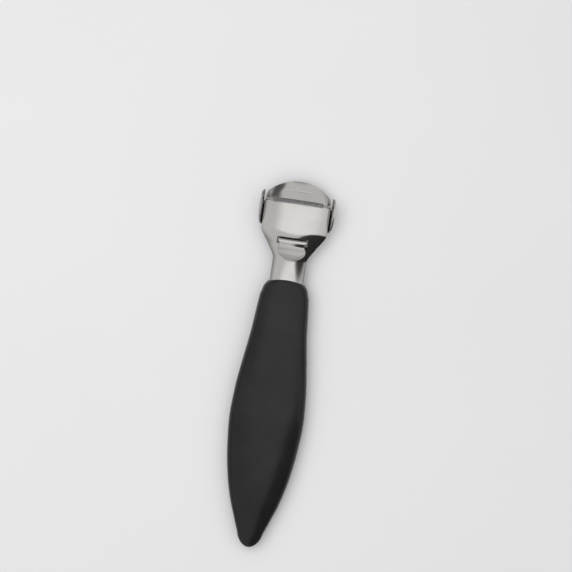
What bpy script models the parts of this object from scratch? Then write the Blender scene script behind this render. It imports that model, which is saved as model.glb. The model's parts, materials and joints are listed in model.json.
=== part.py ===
"""Corn cutter: a sprung blade clamp and a curved blade under an arched stainless head, on a moulded handle.

The tool lies on the flat back of its handle. It points along +Y, its working face looks up, and it is
mirror symmetric across X. All sizes are in metres, and places along the tool are counted from the handle's tip.
"""

import math

import bmesh
import bpy
import numpy as np

# Fits
PIECE_GAP = 0.0003
CUT_OVERRUN = 0.001

# Handle, two moulded shells that meet in a level seam
HANDLE_LENGTH = 0.1139
HANDLE_HALF_WIDTH = 0.0158
HANDLE_THICKNESS = 0.0110
HANDLE_WALL = 0.0020
HANDLE_END_WALL = 0.0074
SEAM_HEIGHT = 0.0046
NOSE_LENGTH = 0.0050
NOSE_FIRST_ANGLE = 0.25
END_ARC_RADIUS = 0.0280
FACE_FULLNESS = 2.2
BACK_FULLNESS = 2.6
# Half width and top and bottom heights, as (share of the length, share of the size)
HANDLE_WIDTH_SHARES = (
    (0.0, 0.262),
    (0.045, 0.330),
    (0.09, 0.450),
    (0.18, 0.682),
    (0.27, 0.838),
    (0.37, 0.945),
    (0.48, 1.0),
    (0.58, 0.964),
    (0.69, 0.868),
    (0.80, 0.758),
    (0.90, 0.690),
    (0.94, 0.660),
    (0.972, 0.624),
    (0.986, 0.590),
    (0.993, 0.553),
    (0.9975, 0.520),
    (1.0, 0.498),
)
HANDLE_TOP_SHARES = (
    (0.0, 0.60),
    (0.09, 0.74),
    (0.20, 0.87),
    (0.35, 0.96),
    (0.50, 1.0),
    (0.70, 1.0),
    (0.90, 0.98),
    (0.972, 0.965),
    (0.986, 0.955),
    (0.993, 0.94),
    (0.9975, 0.92),
    (1.0, 0.88),
)
HANDLE_BASE_SHARES = (
    (0.0, 0.12),
    (0.06, 0.02),
    (0.13, -0.06),
    (0.94, -0.06),
    (0.98, -0.02),
    (0.993, 0.02),
    (1.0, 0.08),
)
HANDLE_END_SHARES = (0.94, 0.972, 0.986, 0.993, 0.9975, 1.0)
NOSE_ROWS = 5
HANDLE_ROWS = 20
HANDLE_COLUMNS = 20
CAVITY_START = 0.0100
CAVITY_ROWS = 14

# Ribs and the pegs that join the shells, two of them through the tang
RIB_PLACE_SHARES = (0.30, 0.50)
RIB_THICKNESS = 0.0014
TAIL_PEG_SHARES = (0.20, 0.395)
TANG_PEG_SPACING = 0.0160
TANG_PEG_SET_BACK = 0.0050
PEG_RADIUS = 0.0015
PEG_CLEARANCE = 0.0003
BOSS_WALL = 0.0015
TAIL_PEG_RISE = 0.0020
TANG_PEG_RISE = 0.0034
PEG_SIDES = 16

# Head frame, one stamping: flat tang, channel neck, arched plate and front guard
FRAME_SHEET = 0.0009
TANG_LENGTH = 0.0290
TANG_HALF_WIDTH = 0.0050
TANG_CROWN = 0.0001
TANG_RISE_LENGTH = 0.0090
NECK_SET_IN = 0.0005
NECK_LENGTH = 0.0089
NECK_HALF_WIDTH = 0.0075
NECK_CROWN = 0.0032
FLARE_LENGTH = 0.0117
PLATE_LENGTH = 0.0117
PLATE_HALF_WIDTH = 0.0141
PLATE_CROWN = 0.0046
PLATE_TOP = 0.0110
MOUTH_WIDTH = 0.0016
MOUTH_HALF_LENGTH = 0.0105
GUARD_LENGTH = 0.0082
GUARD_CORNER_SET_BACK = 0.0063
GUARD_FALL_ANGLE = math.radians(18.0)
GUARD_STEP = 0.0013
REAR_SLOT_SET_BACK = 0.0028
REAR_SLOT_WIDTH = 0.0026
REAR_SLOT_HALF_LENGTH = 0.00645
SLOT_CORNER = 0.0003
FRAME_COLUMNS = 14

# Blade, one thin arched strip ground at the front
BLADE_SHEET = 0.0003
BLADE_DEPTH = 0.0100
BLADE_REACH = 0.0008
BLADE_BEVEL = 0.0016
BLADE_EDGE_SHEET = 0.00006
BLADE_HOLE_RADIUS = 0.0012
PIP_RADIUS = 0.0009
PIP_RISE = 0.00045
PIP_SET_BACK = 0.0060
PIP_OFFSET = 0.0070
BLADE_COLUMNS = 16

# Blade clamp, one stamping: arched plate, side cheeks, tongue through the rear slot, thumb tab
CLAMP_SHEET = 0.0008
CLAMP_SET_BACK = 0.0010
CLAMP_SHOULDER_LENGTH = 0.0043
CLAMP_HALF_ARC = 0.0134
TONGUE_ROOT_LENGTH = 0.0015
TONGUE_HALF_WIDTH = 0.0061
WAIST_HALF_WIDTH = 0.0050
ROOT_REACH = 0.0020
CREST_BACK = 0.0011
CREST_RISE = 0.00145
DIP_BACK = 0.0022
DIP_RISE = 0.0010
TAB_SET_BACK = 0.0029
TAB_LENGTH = 0.0054
TAB_REAR_RISE = 0.0024
CHEEK_OVERHANG = 0.0029
CHEEK_LENGTH = 0.0146
CHEEK_CUT_BACK = 0.0002
CHEEK_HALF_WIDTH = 0.0161
CHEEK_LEAN = math.radians(65.0)
CHEEK_BEND_RADIUS = 0.0006
CHEEK_CLEARANCE = 0.00035
CHEEK_OVERLAP = 0.0006
CHEEK_ROOT_SET_IN = 0.00002
CHEEK_FULLNESS = 2.2
CLAMP_COLUMNS = 16

# Places along the tool that follow from the lengths above, counted from the handle's tip
CAVITY_END = HANDLE_LENGTH - HANDLE_END_WALL
NECK_START = CAVITY_END - NECK_SET_IN
TANG_END = NECK_START - TANG_RISE_LENGTH
TANG_START = TANG_END - TANG_LENGTH
TANG_PEG_PLACES = (TANG_END - TANG_PEG_SET_BACK - TANG_PEG_SPACING, TANG_END - TANG_PEG_SET_BACK)
TAIL_PEG_PLACES = tuple(HANDLE_LENGTH * share for share in TAIL_PEG_SHARES)
RIB_PLACES = tuple(HANDLE_LENGTH * share for share in RIB_PLACE_SHARES)
NECK_END = HANDLE_LENGTH + NECK_LENGTH
PLATE_START = NECK_END + FLARE_LENGTH
MOUTH_REAR = PLATE_START + PLATE_LENGTH
MOUTH_FRONT = MOUTH_REAR + MOUTH_WIDTH
OVERALL_LENGTH = MOUTH_FRONT + GUARD_LENGTH
REAR_SLOT_FRONT = PLATE_START - REAR_SLOT_SET_BACK
REAR_SLOT_BACK = REAR_SLOT_FRONT - REAR_SLOT_WIDTH
HINGE_PLACE = (REAR_SLOT_FRONT + REAR_SLOT_BACK) / 2
BLADE_EDGE = MOUTH_REAR + BLADE_REACH
BLADE_REAR = BLADE_EDGE - BLADE_DEPTH
PIP_PLACE = BLADE_EDGE - PIP_SET_BACK
CLAMP_FRONT = MOUTH_REAR - CLAMP_SET_BACK
CLAMP_SHOULDER_BACK = REAR_SLOT_FRONT + TONGUE_ROOT_LENGTH
CLAMP_SHOULDER_FRONT = CLAMP_SHOULDER_BACK + CLAMP_SHOULDER_LENGTH
TAB_FRONT = HINGE_PLACE - TAB_SET_BACK
TAB_REAR = TAB_FRONT - TAB_LENGTH
CHEEK_FRONT = MOUTH_FRONT + CHEEK_OVERHANG
CHEEK_REAR = CHEEK_FRONT - CHEEK_LENGTH
# Thumb tab outline, as (share of the tab's length from its front, share of the tongue's half width)
TAB_OUTLINE_SHARES = (
    (0.0, 0.90),
    (0.12, 0.985),
    (0.28, 1.0),
    (0.46, 0.95),
    (0.64, 0.83),
    (0.80, 0.64),
    (0.92, 0.42),
    (1.0, 0.17),
)

# Colours, as linear red, green and blue
PLASTIC_COLOUR = (0.012, 0.012, 0.013)
STEEL_COLOUR = (0.62, 0.61, 0.60)
BLADE_COLOUR = (0.50, 0.51, 0.53)


def along(place):
    """World Y of a place counted from the handle's tip."""
    return place - OVERALL_LENGTH / 2


def curve_through(shares, at):
    """Smooth curve through hand-set points, with slopes limited so that it never overshoots them."""
    known = np.array(shares, float)
    x = known[:, 0]
    y = known[:, 1]
    step = np.diff(x)
    rise = np.diff(y) / step
    slope = np.empty_like(y)
    slope[0] = rise[0]
    slope[-1] = rise[-1]
    same_way = rise[:-1] * rise[1:] > 0
    both = rise[:-1] + rise[1:]
    safe = np.where(same_way, both, 1.0)
    slope[1:-1] = np.where(same_way, 2 * rise[:-1] * rise[1:] / safe, 0.0)
    at = np.clip(np.asarray(at, float), x[0], x[-1])
    left = np.clip(np.searchsorted(x, at, side="right") - 1, 0, len(x) - 2)
    run = step[left]
    part = (at - x[left]) / run
    return (
        y[left] * (1 + 2 * part) * (1 - part) ** 2
        + slope[left] * run * part * (1 - part) ** 2
        + y[left + 1] * part**2 * (3 - 2 * part)
        + slope[left + 1] * run * part**2 * (part - 1)
    )


def part_way(value, low, high):
    """How far value is from low to high, held between 0 and 1."""
    return np.clip((np.asarray(value, float) - low) / (high - low), 0.0, 1.0)


def eased(value, low, high):
    """part_way with level ends."""
    part = part_way(value, low, high)
    return part * part * (3 - 2 * part)


def material(name, colour, metallic, roughness):
    made = bpy.data.materials.new(name)
    made.use_nodes = True
    shader = made.node_tree.nodes["Principled BSDF"]
    shader.inputs["Base Color"].default_value = (*colour, 1.0)
    shader.inputs["Metallic"].default_value = metallic
    shader.inputs["Roughness"].default_value = roughness
    made.diffuse_color = (*colour, 1.0)
    return made


def mesh_object(name, points, faces, surface=None):
    """A closed object with its faces out and smooth shading on the rounded runs."""
    mesh = bpy.data.meshes.new(name)
    mesh.from_pydata([tuple(map(float, p)) for p in points], [], faces)
    shape = bmesh.new()
    shape.from_mesh(mesh)
    bmesh.ops.remove_doubles(shape, verts=shape.verts, dist=PIECE_GAP / 1000)
    bmesh.ops.recalc_face_normals(shape, faces=shape.faces)
    shape.to_mesh(mesh)
    shape.free()
    mesh.shade_smooth()
    mesh.set_sharp_from_angle(angle=math.radians(32.0))
    made = bpy.data.objects.new(name, mesh)
    bpy.context.scene.collection.objects.link(made)
    if surface is not None:
        mesh.materials.append(surface)
    return made


def solid_between(name, upper, lower, surface=None):
    """Closed solid between two grids of points of one shape, joined around their border."""
    rows, columns = upper.shape[:2]
    points = np.concatenate([upper.reshape(-1, 3), lower.reshape(-1, 3)])
    far = rows * columns
    at = np.arange(far).reshape(rows, columns)
    faces = []
    for r in range(rows - 1):
        for c in range(columns - 1):
            quad = (at[r, c], at[r + 1, c], at[r + 1, c + 1], at[r, c + 1])
            faces.append([int(v) for v in quad])
            faces.append([int(v) + far for v in reversed(quad)])
    ring = [*at[:, 0], *at[-1, 1:], *at[-2::-1, -1], *at[0, -2:0:-1]]
    for a, b in zip(ring, ring[1:] + ring[:1]):
        faces.append([int(a), int(a) + far, int(b) + far, int(b)])
    return mesh_object(name, points, faces, surface)


def sheet_solid(name, face, thickness, surface=None):
    """Bent sheet: a grid of points on its upper face, and the same grid moved in along the normals."""
    return solid_between(name, face, face - thickness * grid_normals(face), surface)


def grid_normals(face):
    """Unit normals of a grid of points, turned to look up or out."""
    across = np.gradient(face, axis=1)
    along_rows = np.gradient(face, axis=0)
    normal = np.cross(across, along_rows)
    return normal / np.linalg.norm(normal, axis=2, keepdims=True)


def prism(name, outline, axis, low, high):
    """Closed solid: an outline in the two other axes, in X Y Z order, drawn along one axis."""
    outline = [tuple(p) for p in outline]
    points = []
    for level in (low, high):
        for a, b in outline:
            place = [a, b]
            place.insert(axis, level)
            points.append(place)
    n = len(outline)
    faces = [list(range(n)), [n + i for i in reversed(range(n))]]
    faces += [[i, (i + 1) % n, n + (i + 1) % n, n + i] for i in range(n)]
    return mesh_object(name, points, faces)


def circle(x, y, radius, sides=PEG_SIDES):
    turns = np.linspace(0, 2 * math.pi, sides, endpoint=False)
    return [(x + radius * math.cos(a), y + radius * math.sin(a)) for a in turns]


def slot_outline(half_length, rear, front, sides=3):
    """A straight slot across the tool with small round corners."""
    outline = []
    for quarter in range(4):
        x = (half_length - SLOT_CORNER) * (1 if quarter in (0, 3) else -1)
        y = along(front) - SLOT_CORNER if quarter < 2 else along(rear) + SLOT_CORNER
        for turn in np.linspace(quarter, quarter + 1, sides + 1) * math.pi / 2:
            outline.append((x + SLOT_CORNER * math.cos(turn), y + SLOT_CORNER * math.sin(turn)))
    return outline


def combine(target, tool, operation):
    """Boolean of a hidden helper on a piece."""
    step = target.modifiers.new(tool.name, "BOOLEAN")
    step.operation = operation
    step.solver = "EXACT"
    step.object = tool
    tool.hide_render = True
    tool.display_type = "WIRE"


def clear_scene():
    for old in list(bpy.data.objects):
        bpy.data.objects.remove(old, do_unlink=True)


# Handle


def nose(place):
    """Share of full size left by the rounding of the handle's tip, which is blunt at its very end."""
    blunt = 1 - math.cos(NOSE_FIRST_ANGLE)
    part = blunt + (1 - blunt) * part_way(place, 0.0, NOSE_LENGTH)
    return np.sqrt(1 - (1 - part) ** 2)


def handle_half_width(place):
    shares = curve_through(HANDLE_WIDTH_SHARES, np.asarray(place) / HANDLE_LENGTH)
    return HANDLE_HALF_WIDTH * shares * nose(place)


def handle_height(place, shares):
    full = HANDLE_THICKNESS * curve_through(shares, np.asarray(place) / HANDLE_LENGTH)
    return SEAM_HEIGHT + (full - SEAM_HEIGHT) * nose(place)


def end_bow(place):
    """Sideways curvature of the cross-sections: level at the cavity, the end's arc at the end."""
    return eased(place, CAVITY_END, HANDLE_LENGTH * HANDLE_END_SHARES[1]) / (2 * END_ARC_RADIUS)


def handle_places():
    nose_turns = np.linspace(NOSE_FIRST_ANGLE, math.pi / 2, NOSE_ROWS)
    first = NOSE_LENGTH * (1 - np.cos(nose_turns) / math.cos(NOSE_FIRST_ANGLE))
    last = HANDLE_LENGTH * np.array(HANDLE_END_SHARES)
    middle = np.linspace(NOSE_LENGTH, last[0], HANDLE_ROWS)[1:-1]
    return np.concatenate([first, middle, last])


def handle_half(places, inset, face_side, rim, rim_overrun=0.0):
    """Grids of a handle half: its rounded skin, moved in by inset, and the level plane that it stands on."""
    turns = np.linspace(math.pi, 0, HANDLE_COLUMNS + 1)
    fullness = FACE_FULLNESS if face_side else BACK_FULLNESS
    sideways = np.sign(np.cos(turns)) * np.abs(np.cos(turns)) ** (2 / fullness)
    sideways[0] = -1.0
    sideways[-1] = 1.0
    upwards = np.abs(np.sin(turns)) ** (2 / fullness)
    upwards[0] = 0.0
    upwards[-1] = 0.0
    half = handle_half_width(places) - inset
    if face_side:
        reach = handle_height(places, HANDLE_TOP_SHARES) - inset - rim
        height = rim + reach[:, None] * upwards[None, :]
    else:
        reach = rim - handle_height(places, HANDLE_BASE_SHARES) - inset
        height = np.maximum(rim - reach[:, None] * upwards[None, :], inset)
    x = half[:, None] * sideways[None, :]
    y = along(places[:, None] - end_bow(places)[:, None] * x**2)
    level = rim - rim_overrun if face_side else rim + rim_overrun
    skin = np.stack([x, y, height], axis=2)
    plane = np.stack([x, y, np.full_like(x, level)], axis=2)
    return skin, plane


def neck_arc(radius, half_width, columns=10):
    """Points on an arc about the neck's own centre of curvature, from left to right, as X and Z."""
    centre = neck_top() - neck_radius()
    limit = math.asin(min(half_width / radius, 1.0))
    return [
        (radius * math.sin(a), centre + radius * math.cos(a))
        for a in np.linspace(-limit, limit, columns + 1)
    ]


def make_handle(plastic):
    places = handle_places()
    inner = np.linspace(CAVITY_START, CAVITY_END, CAVITY_ROWS)
    face_rim = SEAM_HEIGHT + PIECE_GAP / 2
    back_rim = SEAM_HEIGHT - PIECE_GAP / 2
    end = along(HANDLE_LENGTH)

    front = solid_between("handle_front_shell", *handle_half(places, 0.0, True, face_rim), plastic)
    hollow = handle_half(inner, HANDLE_WALL, True, face_rim, CUT_OVERRUN)
    combine(front, solid_between("front_hollow", *hollow), "DIFFERENCE")

    back_grids = handle_half(places, 0.0, False, back_rim)
    back = solid_between("handle_back_shell", *back_grids, plastic)
    hollow = handle_half(inner, HANDLE_WALL, False, back_rim, CUT_OVERRUN)
    combine(back, solid_between("back_hollow", *hollow), "DIFFERENCE")

    for number, place in enumerate(RIB_PLACES):
        span = np.array([place - RIB_THICKNESS / 2, place + RIB_THICKNESS / 2])
        for shell, side, rim in ((front, True, face_rim), (back, False, back_rim)):
            rib = handle_half(span, HANDLE_WALL / 2, side, rim)
            helper = solid_between(f"{shell.name}_rib_{number}", *rib)
            combine(shell, helper, "UNION")

    # The front shell's end is arched over the neck, and the back shell's saddle fills the channel under it
    wide = NECK_HALF_WIDTH + PIECE_GAP
    floor = face_rim - CUT_OVERRUN
    arch = neck_arc(neck_radius() + PIECE_GAP, wide) + [(wide, floor), (-wide, floor)]
    passage = prism("neck_passage", arch, 1, along(TANG_END), end + CUT_OVERRUN)
    combine(front, passage, "DIFFERENCE")
    inner_radius = neck_radius() - FRAME_SHEET - PIECE_GAP
    edge = NECK_HALF_WIDTH * (neck_radius() - FRAME_SHEET) / neck_radius() - 2 * PIECE_GAP
    saddle = neck_arc(inner_radius, edge) + [(edge, HANDLE_WALL / 2), (-edge, HANDLE_WALL / 2)]
    saddle_end = HANDLE_LENGTH - handle_half_width(HANDLE_LENGTH) ** 2 * end_bow(HANDLE_LENGTH)
    tool = prism("neck_saddle", saddle, 1, along(CAVITY_END) - HANDLE_WALL / 2, along(saddle_end))
    combine(back, tool, "UNION")

    for number, place in enumerate(TAIL_PEG_PLACES + TANG_PEG_PLACES):
        through_tang = place in TANG_PEG_PLACES
        seat = tang_top() + PIECE_GAP if through_tang else face_rim
        top = seat + (TANG_PEG_RISE - FRAME_SHEET if through_tang else TAIL_PEG_RISE)
        roof = float(handle_height(place, HANDLE_TOP_SHARES)) - HANDLE_WALL / 2
        boss_radius = PEG_RADIUS + PEG_CLEARANCE + BOSS_WALL
        outer = circle(0.0, along(place), boss_radius)
        peg = circle(0.0, along(place), PEG_RADIUS)
        hole = circle(0.0, along(place), PEG_RADIUS + PEG_CLEARANCE)
        combine(front, prism(f"socket_{number}", outer, 2, seat, roof), "UNION")
        socket = prism(f"socket_hole_{number}", hole, 2, seat - CUT_OVERRUN, top + PIECE_GAP)
        combine(front, socket, "DIFFERENCE")
        combine(back, prism(f"boss_{number}", outer, 2, HANDLE_WALL / 2, back_rim), "UNION")
        combine(back, prism(f"peg_{number}", peg, 2, HANDLE_WALL / 2, top), "UNION")
    return front, back


# Head frame


def arc_radius(half_width, crown):
    """Radius of an arch from its half width and its height."""
    return (half_width**2 + crown**2) / (2 * crown)


def neck_radius():
    return arc_radius(NECK_HALF_WIDTH, NECK_CROWN)


def tang_top():
    """The tang lies on the back shell's ribs and bosses."""
    return SEAM_HEIGHT + PIECE_GAP / 2 + FRAME_SHEET


def neck_top():
    """The channel neck stands on the back shell's rim by its two lower edges."""
    edge_turn = math.asin(NECK_HALF_WIDTH / neck_radius())
    return SEAM_HEIGHT + PIECE_GAP / 2 + NECK_CROWN + FRAME_SHEET * math.cos(edge_turn)


def frame_half_width(place):
    inside = eased(place, TANG_END, NECK_START)
    flare = part_way(place, NECK_END, PLATE_START)
    flare = (flare + eased(place, NECK_END, PLATE_START)) / 2
    narrow = TANG_HALF_WIDTH + (NECK_HALF_WIDTH - TANG_HALF_WIDTH) * inside
    return narrow + (PLATE_HALF_WIDTH - NECK_HALF_WIDTH) * flare


def frame_crown(place):
    inside = eased(place, TANG_END, NECK_START)
    flare = eased(place, NECK_END, PLATE_START)
    return TANG_CROWN + (NECK_CROWN - TANG_CROWN) * inside + (PLATE_CROWN - NECK_CROWN) * flare


def frame_top(place):
    """Height of the upper face on the centre line."""
    rise = (neck_top() - tang_top()) * eased(place, TANG_END, NECK_START)
    rise = rise + (PLATE_TOP - neck_top()) * eased(place, NECK_END, PLATE_START)
    step = GUARD_STEP * eased(place, MOUTH_REAR, MOUTH_FRONT)
    fall = np.maximum(np.asarray(place) - MOUTH_FRONT, 0.0) * math.tan(GUARD_FALL_ANGLE)
    return tang_top() + rise - step - fall


def guard_front(x):
    """Place of the front edge, an arc in plan."""
    radius = arc_radius(PLATE_HALF_WIDTH, GUARD_CORNER_SET_BACK)
    return OVERALL_LENGTH - (radius - np.sqrt(radius**2 - x**2))


def frame_face():
    """Grid on the frame's upper face, from the tang's end to the guard's front edge."""
    rows = np.concatenate(
        [
            np.linspace(TANG_START, TANG_END, 4),
            np.linspace(TANG_END, NECK_START, 7)[1:],
            np.linspace(NECK_START, NECK_END, 3)[1:],
            np.linspace(NECK_END, PLATE_START, 11)[1:],
            np.linspace(PLATE_START, MOUTH_REAR, 3)[1:],
            np.linspace(MOUTH_REAR, MOUTH_FRONT, 7)[1:],
        ]
    )
    across = np.linspace(-1, 1, FRAME_COLUMNS + 1)
    x = frame_half_width(rows)[:, None] * across[None, :]
    place = np.repeat(rows[:, None], len(across), axis=1)
    guard = np.linspace(0, 1, 5)[1:]
    guard_x = np.repeat(PLATE_HALF_WIDTH * across[None, :], len(guard), axis=0)
    guard_place = MOUTH_FRONT + (guard_front(guard_x) - MOUTH_FRONT) * guard[:, None]
    x = np.concatenate([x, guard_x])
    place = np.concatenate([place, guard_place])
    radius = arc_radius(frame_half_width(place), frame_crown(place))
    z = frame_top(place) - (radius - np.sqrt(radius**2 - x**2))
    return np.stack([x, along(place), z], axis=2)


def make_frame(steel):
    frame = sheet_solid("head_frame", frame_face(), FRAME_SHEET, steel)
    top = PLATE_TOP + CUT_OVERRUN
    mouth = slot_outline(MOUTH_HALF_LENGTH, MOUTH_REAR, MOUTH_FRONT)
    combine(frame, prism("mouth_slot", mouth, 2, 0.0, top), "DIFFERENCE")
    rear = slot_outline(REAR_SLOT_HALF_LENGTH, REAR_SLOT_BACK, REAR_SLOT_FRONT)
    combine(frame, prism("rear_slot", rear, 2, 0.0, top), "DIFFERENCE")
    for number, place in enumerate(TANG_PEG_PLACES):
        hole = circle(0.0, along(place), PEG_RADIUS + PEG_CLEARANCE)
        combine(frame, prism(f"tang_hole_{number}", hole, 2, 0.0, top), "DIFFERENCE")
    return frame


# Blade and blade clamp, nested under the plate's arch


def plate_radius():
    return arc_radius(PLATE_HALF_WIDTH, PLATE_CROWN)


def arch_centre():
    return PLATE_TOP - plate_radius()


def blade_top_radius():
    return plate_radius() - FRAME_SHEET - PIECE_GAP


def clamp_top_radius():
    return blade_top_radius() - BLADE_SHEET - PIECE_GAP


def blade_half_width():
    """The blade stands clear of the mouth's round corners."""
    return MOUTH_HALF_LENGTH - SLOT_CORNER - PIECE_GAP


def make_blade(steel):
    rows = np.array([BLADE_REAR, BLADE_EDGE - BLADE_BEVEL, BLADE_EDGE])
    limit = math.asin(blade_half_width() / blade_top_radius())
    turn = np.linspace(-limit, limit, BLADE_COLUMNS + 1)
    thickness = np.array([BLADE_SHEET, BLADE_SHEET, BLADE_EDGE_SHEET])
    upper = np.empty((len(rows), len(turn), 3))
    lower = np.empty_like(upper)
    low = blade_top_radius() - BLADE_SHEET
    for r, place in enumerate(rows):
        for grid, radius in ((upper, low + thickness[r]), (lower, low)):
            grid[r, :, 0] = radius * np.sin(turn)
            grid[r, :, 1] = along(place)
            grid[r, :, 2] = arch_centre() + radius * np.cos(turn)
    blade = solid_between("blade", upper, lower, steel)
    for side in (-1, 1):
        hole = circle(side * PIP_OFFSET, along(PIP_PLACE), BLADE_HOLE_RADIUS)
        tool = prism(f"blade_hole_{side + 1}", hole, 2, 0.0, PLATE_TOP)
        combine(blade, tool, "DIFFERENCE")
    return blade


def hinge_height():
    """The clamp rocks in the rear slot, at half the frame's thickness."""
    return float(frame_top(HINGE_PLACE)) - FRAME_SHEET / 2


def clamp_level():
    """Height of the middle of the clamp's sheet on the centre line."""
    return arch_centre() + clamp_top_radius() - CLAMP_SHEET / 2


def clamp_line():
    """Side view of the clamp's middle line as (place, height), from the thumb tab to the front edge."""
    level = clamp_level()
    hinge = hinge_height()
    crest = float(frame_top(HINGE_PLACE)) + CREST_RISE / 2
    slot = (HINGE_PLACE, hinge)
    knots = np.array(
        [
            (TAB_REAR, hinge + TAB_REAR_RISE),
            (TAB_FRONT, hinge + DIP_RISE + PIECE_GAP / 2),
            (HINGE_PLACE - DIP_BACK, hinge + DIP_RISE),
            (HINGE_PLACE - (CREST_BACK + DIP_BACK) / 2, (hinge + DIP_RISE + crest) / 2 + PIECE_GAP),
            (HINGE_PLACE - CREST_BACK, hinge + CREST_RISE),
            (HINGE_PLACE - CREST_BACK / 2, hinge + CREST_RISE / 2 + PIECE_GAP / 2),
            slot,
            (HINGE_PLACE + ROOT_REACH / 4, (level + hinge) / 2),
            (HINGE_PLACE + ROOT_REACH / 2, level + (hinge - level) / 5),
            (HINGE_PLACE + ROOT_REACH, level),
            (CLAMP_SHOULDER_BACK + ROOT_REACH / 2, level),
            (CLAMP_SHOULDER_FRONT, level),
            (CLAMP_FRONT, level),
        ]
    )
    run = np.concatenate([[0.0], np.cumsum(np.linalg.norm(np.diff(knots, axis=0), axis=1))])
    run = run / run[-1]
    at = np.unique(np.concatenate([run, (run[1:] + run[:-1]) / 2, run[0] + (run[1] - run[0]) * np.linspace(0, 1, 9)]))
    place = curve_through(np.column_stack([run, knots[:, 0]]), at)
    height = curve_through(np.column_stack([run, knots[:, 1]]), at)
    return place, height


def clamp_half_arc(place):
    """Half width of the clamp, along its arch, at each place."""
    tab = curve_through(TAB_OUTLINE_SHARES, part_way(place, TAB_FRONT, TAB_REAR)) * TONGUE_HALF_WIDTH
    waist = part_way(place, TAB_FRONT, HINGE_PLACE - CREST_BACK)
    dip = WAIST_HALF_WIDTH + (TONGUE_HALF_WIDTH - WAIST_HALF_WIDTH) * np.abs(2 * waist - 1) ** 2
    body = TONGUE_HALF_WIDTH + (CLAMP_HALF_ARC - TONGUE_HALF_WIDTH) * eased(
        place, CLAMP_SHOULDER_BACK, CLAMP_SHOULDER_FRONT
    )
    width = np.where(place < TAB_FRONT, tab, np.minimum(dip, tab))
    return np.where(place > HINGE_PLACE - CREST_BACK, body, width)


def cheek_line():
    """Right cheek's middle line as X and Z: off the arch, around a bend under the frame's edge, up and out."""
    lean = np.array([math.cos(CHEEK_LEAN), math.sin(CHEEK_LEAN)])
    inward = np.array([-math.sin(CHEEK_LEAN), math.cos(CHEEK_LEAN)])
    corner = np.array([PLATE_HALF_WIDTH, PLATE_TOP - PLATE_CROWN])
    on_face = corner - CHEEK_CLEARANCE * inward
    start = on_face + CHEEK_BEND_RADIUS * inward
    centre_of_arch = np.array([0.0, arch_centre()])
    reach = clamp_top_radius() + CHEEK_BEND_RADIUS
    offset = start - centre_of_arch
    b = float(offset @ lean)
    c = float(offset @ offset) - reach**2
    bend = start + (-b + math.sqrt(b * b - c)) * lean
    outward = (bend - centre_of_arch) / reach
    middle = CHEEK_BEND_RADIUS + CLAMP_SHEET / 2
    first = math.atan2(-outward[1], -outward[0])
    last = math.atan2(-inward[1], -inward[0])
    turns = np.linspace(first, last, 9)
    around = bend + middle * np.column_stack([np.cos(turns), np.sin(turns)])
    arch_turn = math.atan2(outward[0], outward[1])
    arch_mid = clamp_top_radius() - CLAMP_SHEET / 2
    back = arch_turn - CHEEK_OVERLAP / arch_mid
    root = centre_of_arch + arch_mid * np.array([math.sin(back), math.cos(back)])
    outer = bend - (CHEEK_BEND_RADIUS + CLAMP_SHEET) * inward
    rise = (CHEEK_HALF_WIDTH - outer[0]) / lean[0]
    tip = around[-1] + rise * lean
    return np.vstack([root, around, (around[-1] + tip) / 2, tip])


def cheek_outline():
    """Side view of a cheek as (world Y, height): a rounded lobe, free of the frame's edge ahead of the clamp."""
    top = float(cheek_line()[-1, 1]) + CLAMP_SHEET / 2
    edge = PLATE_TOP - PLATE_CROWN
    low = edge - PLATE_CROWN
    part = np.linspace(0, 1, 21)
    bulge = (1 - np.abs(2 * part - 1) ** CHEEK_FULLNESS) ** (1 / CHEEK_FULLNESS)
    front_level = edge
    rear_level = edge - (CHEEK_BEND_RADIUS + CLAMP_SHEET)
    base = rear_level + (front_level - rear_level) * eased(part, 0.0, 0.5)
    places = CHEEK_REAR + (CHEEK_FRONT - CHEEK_REAR) * part
    lobe = [(along(p), b + (top - b) * k) for p, b, k in zip(places, base, bulge)]
    cut = along(CLAMP_FRONT - CHEEK_CUT_BACK)
    return [(along(CHEEK_REAR), low)] + lobe + [(cut, edge), (cut, low)]


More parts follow.
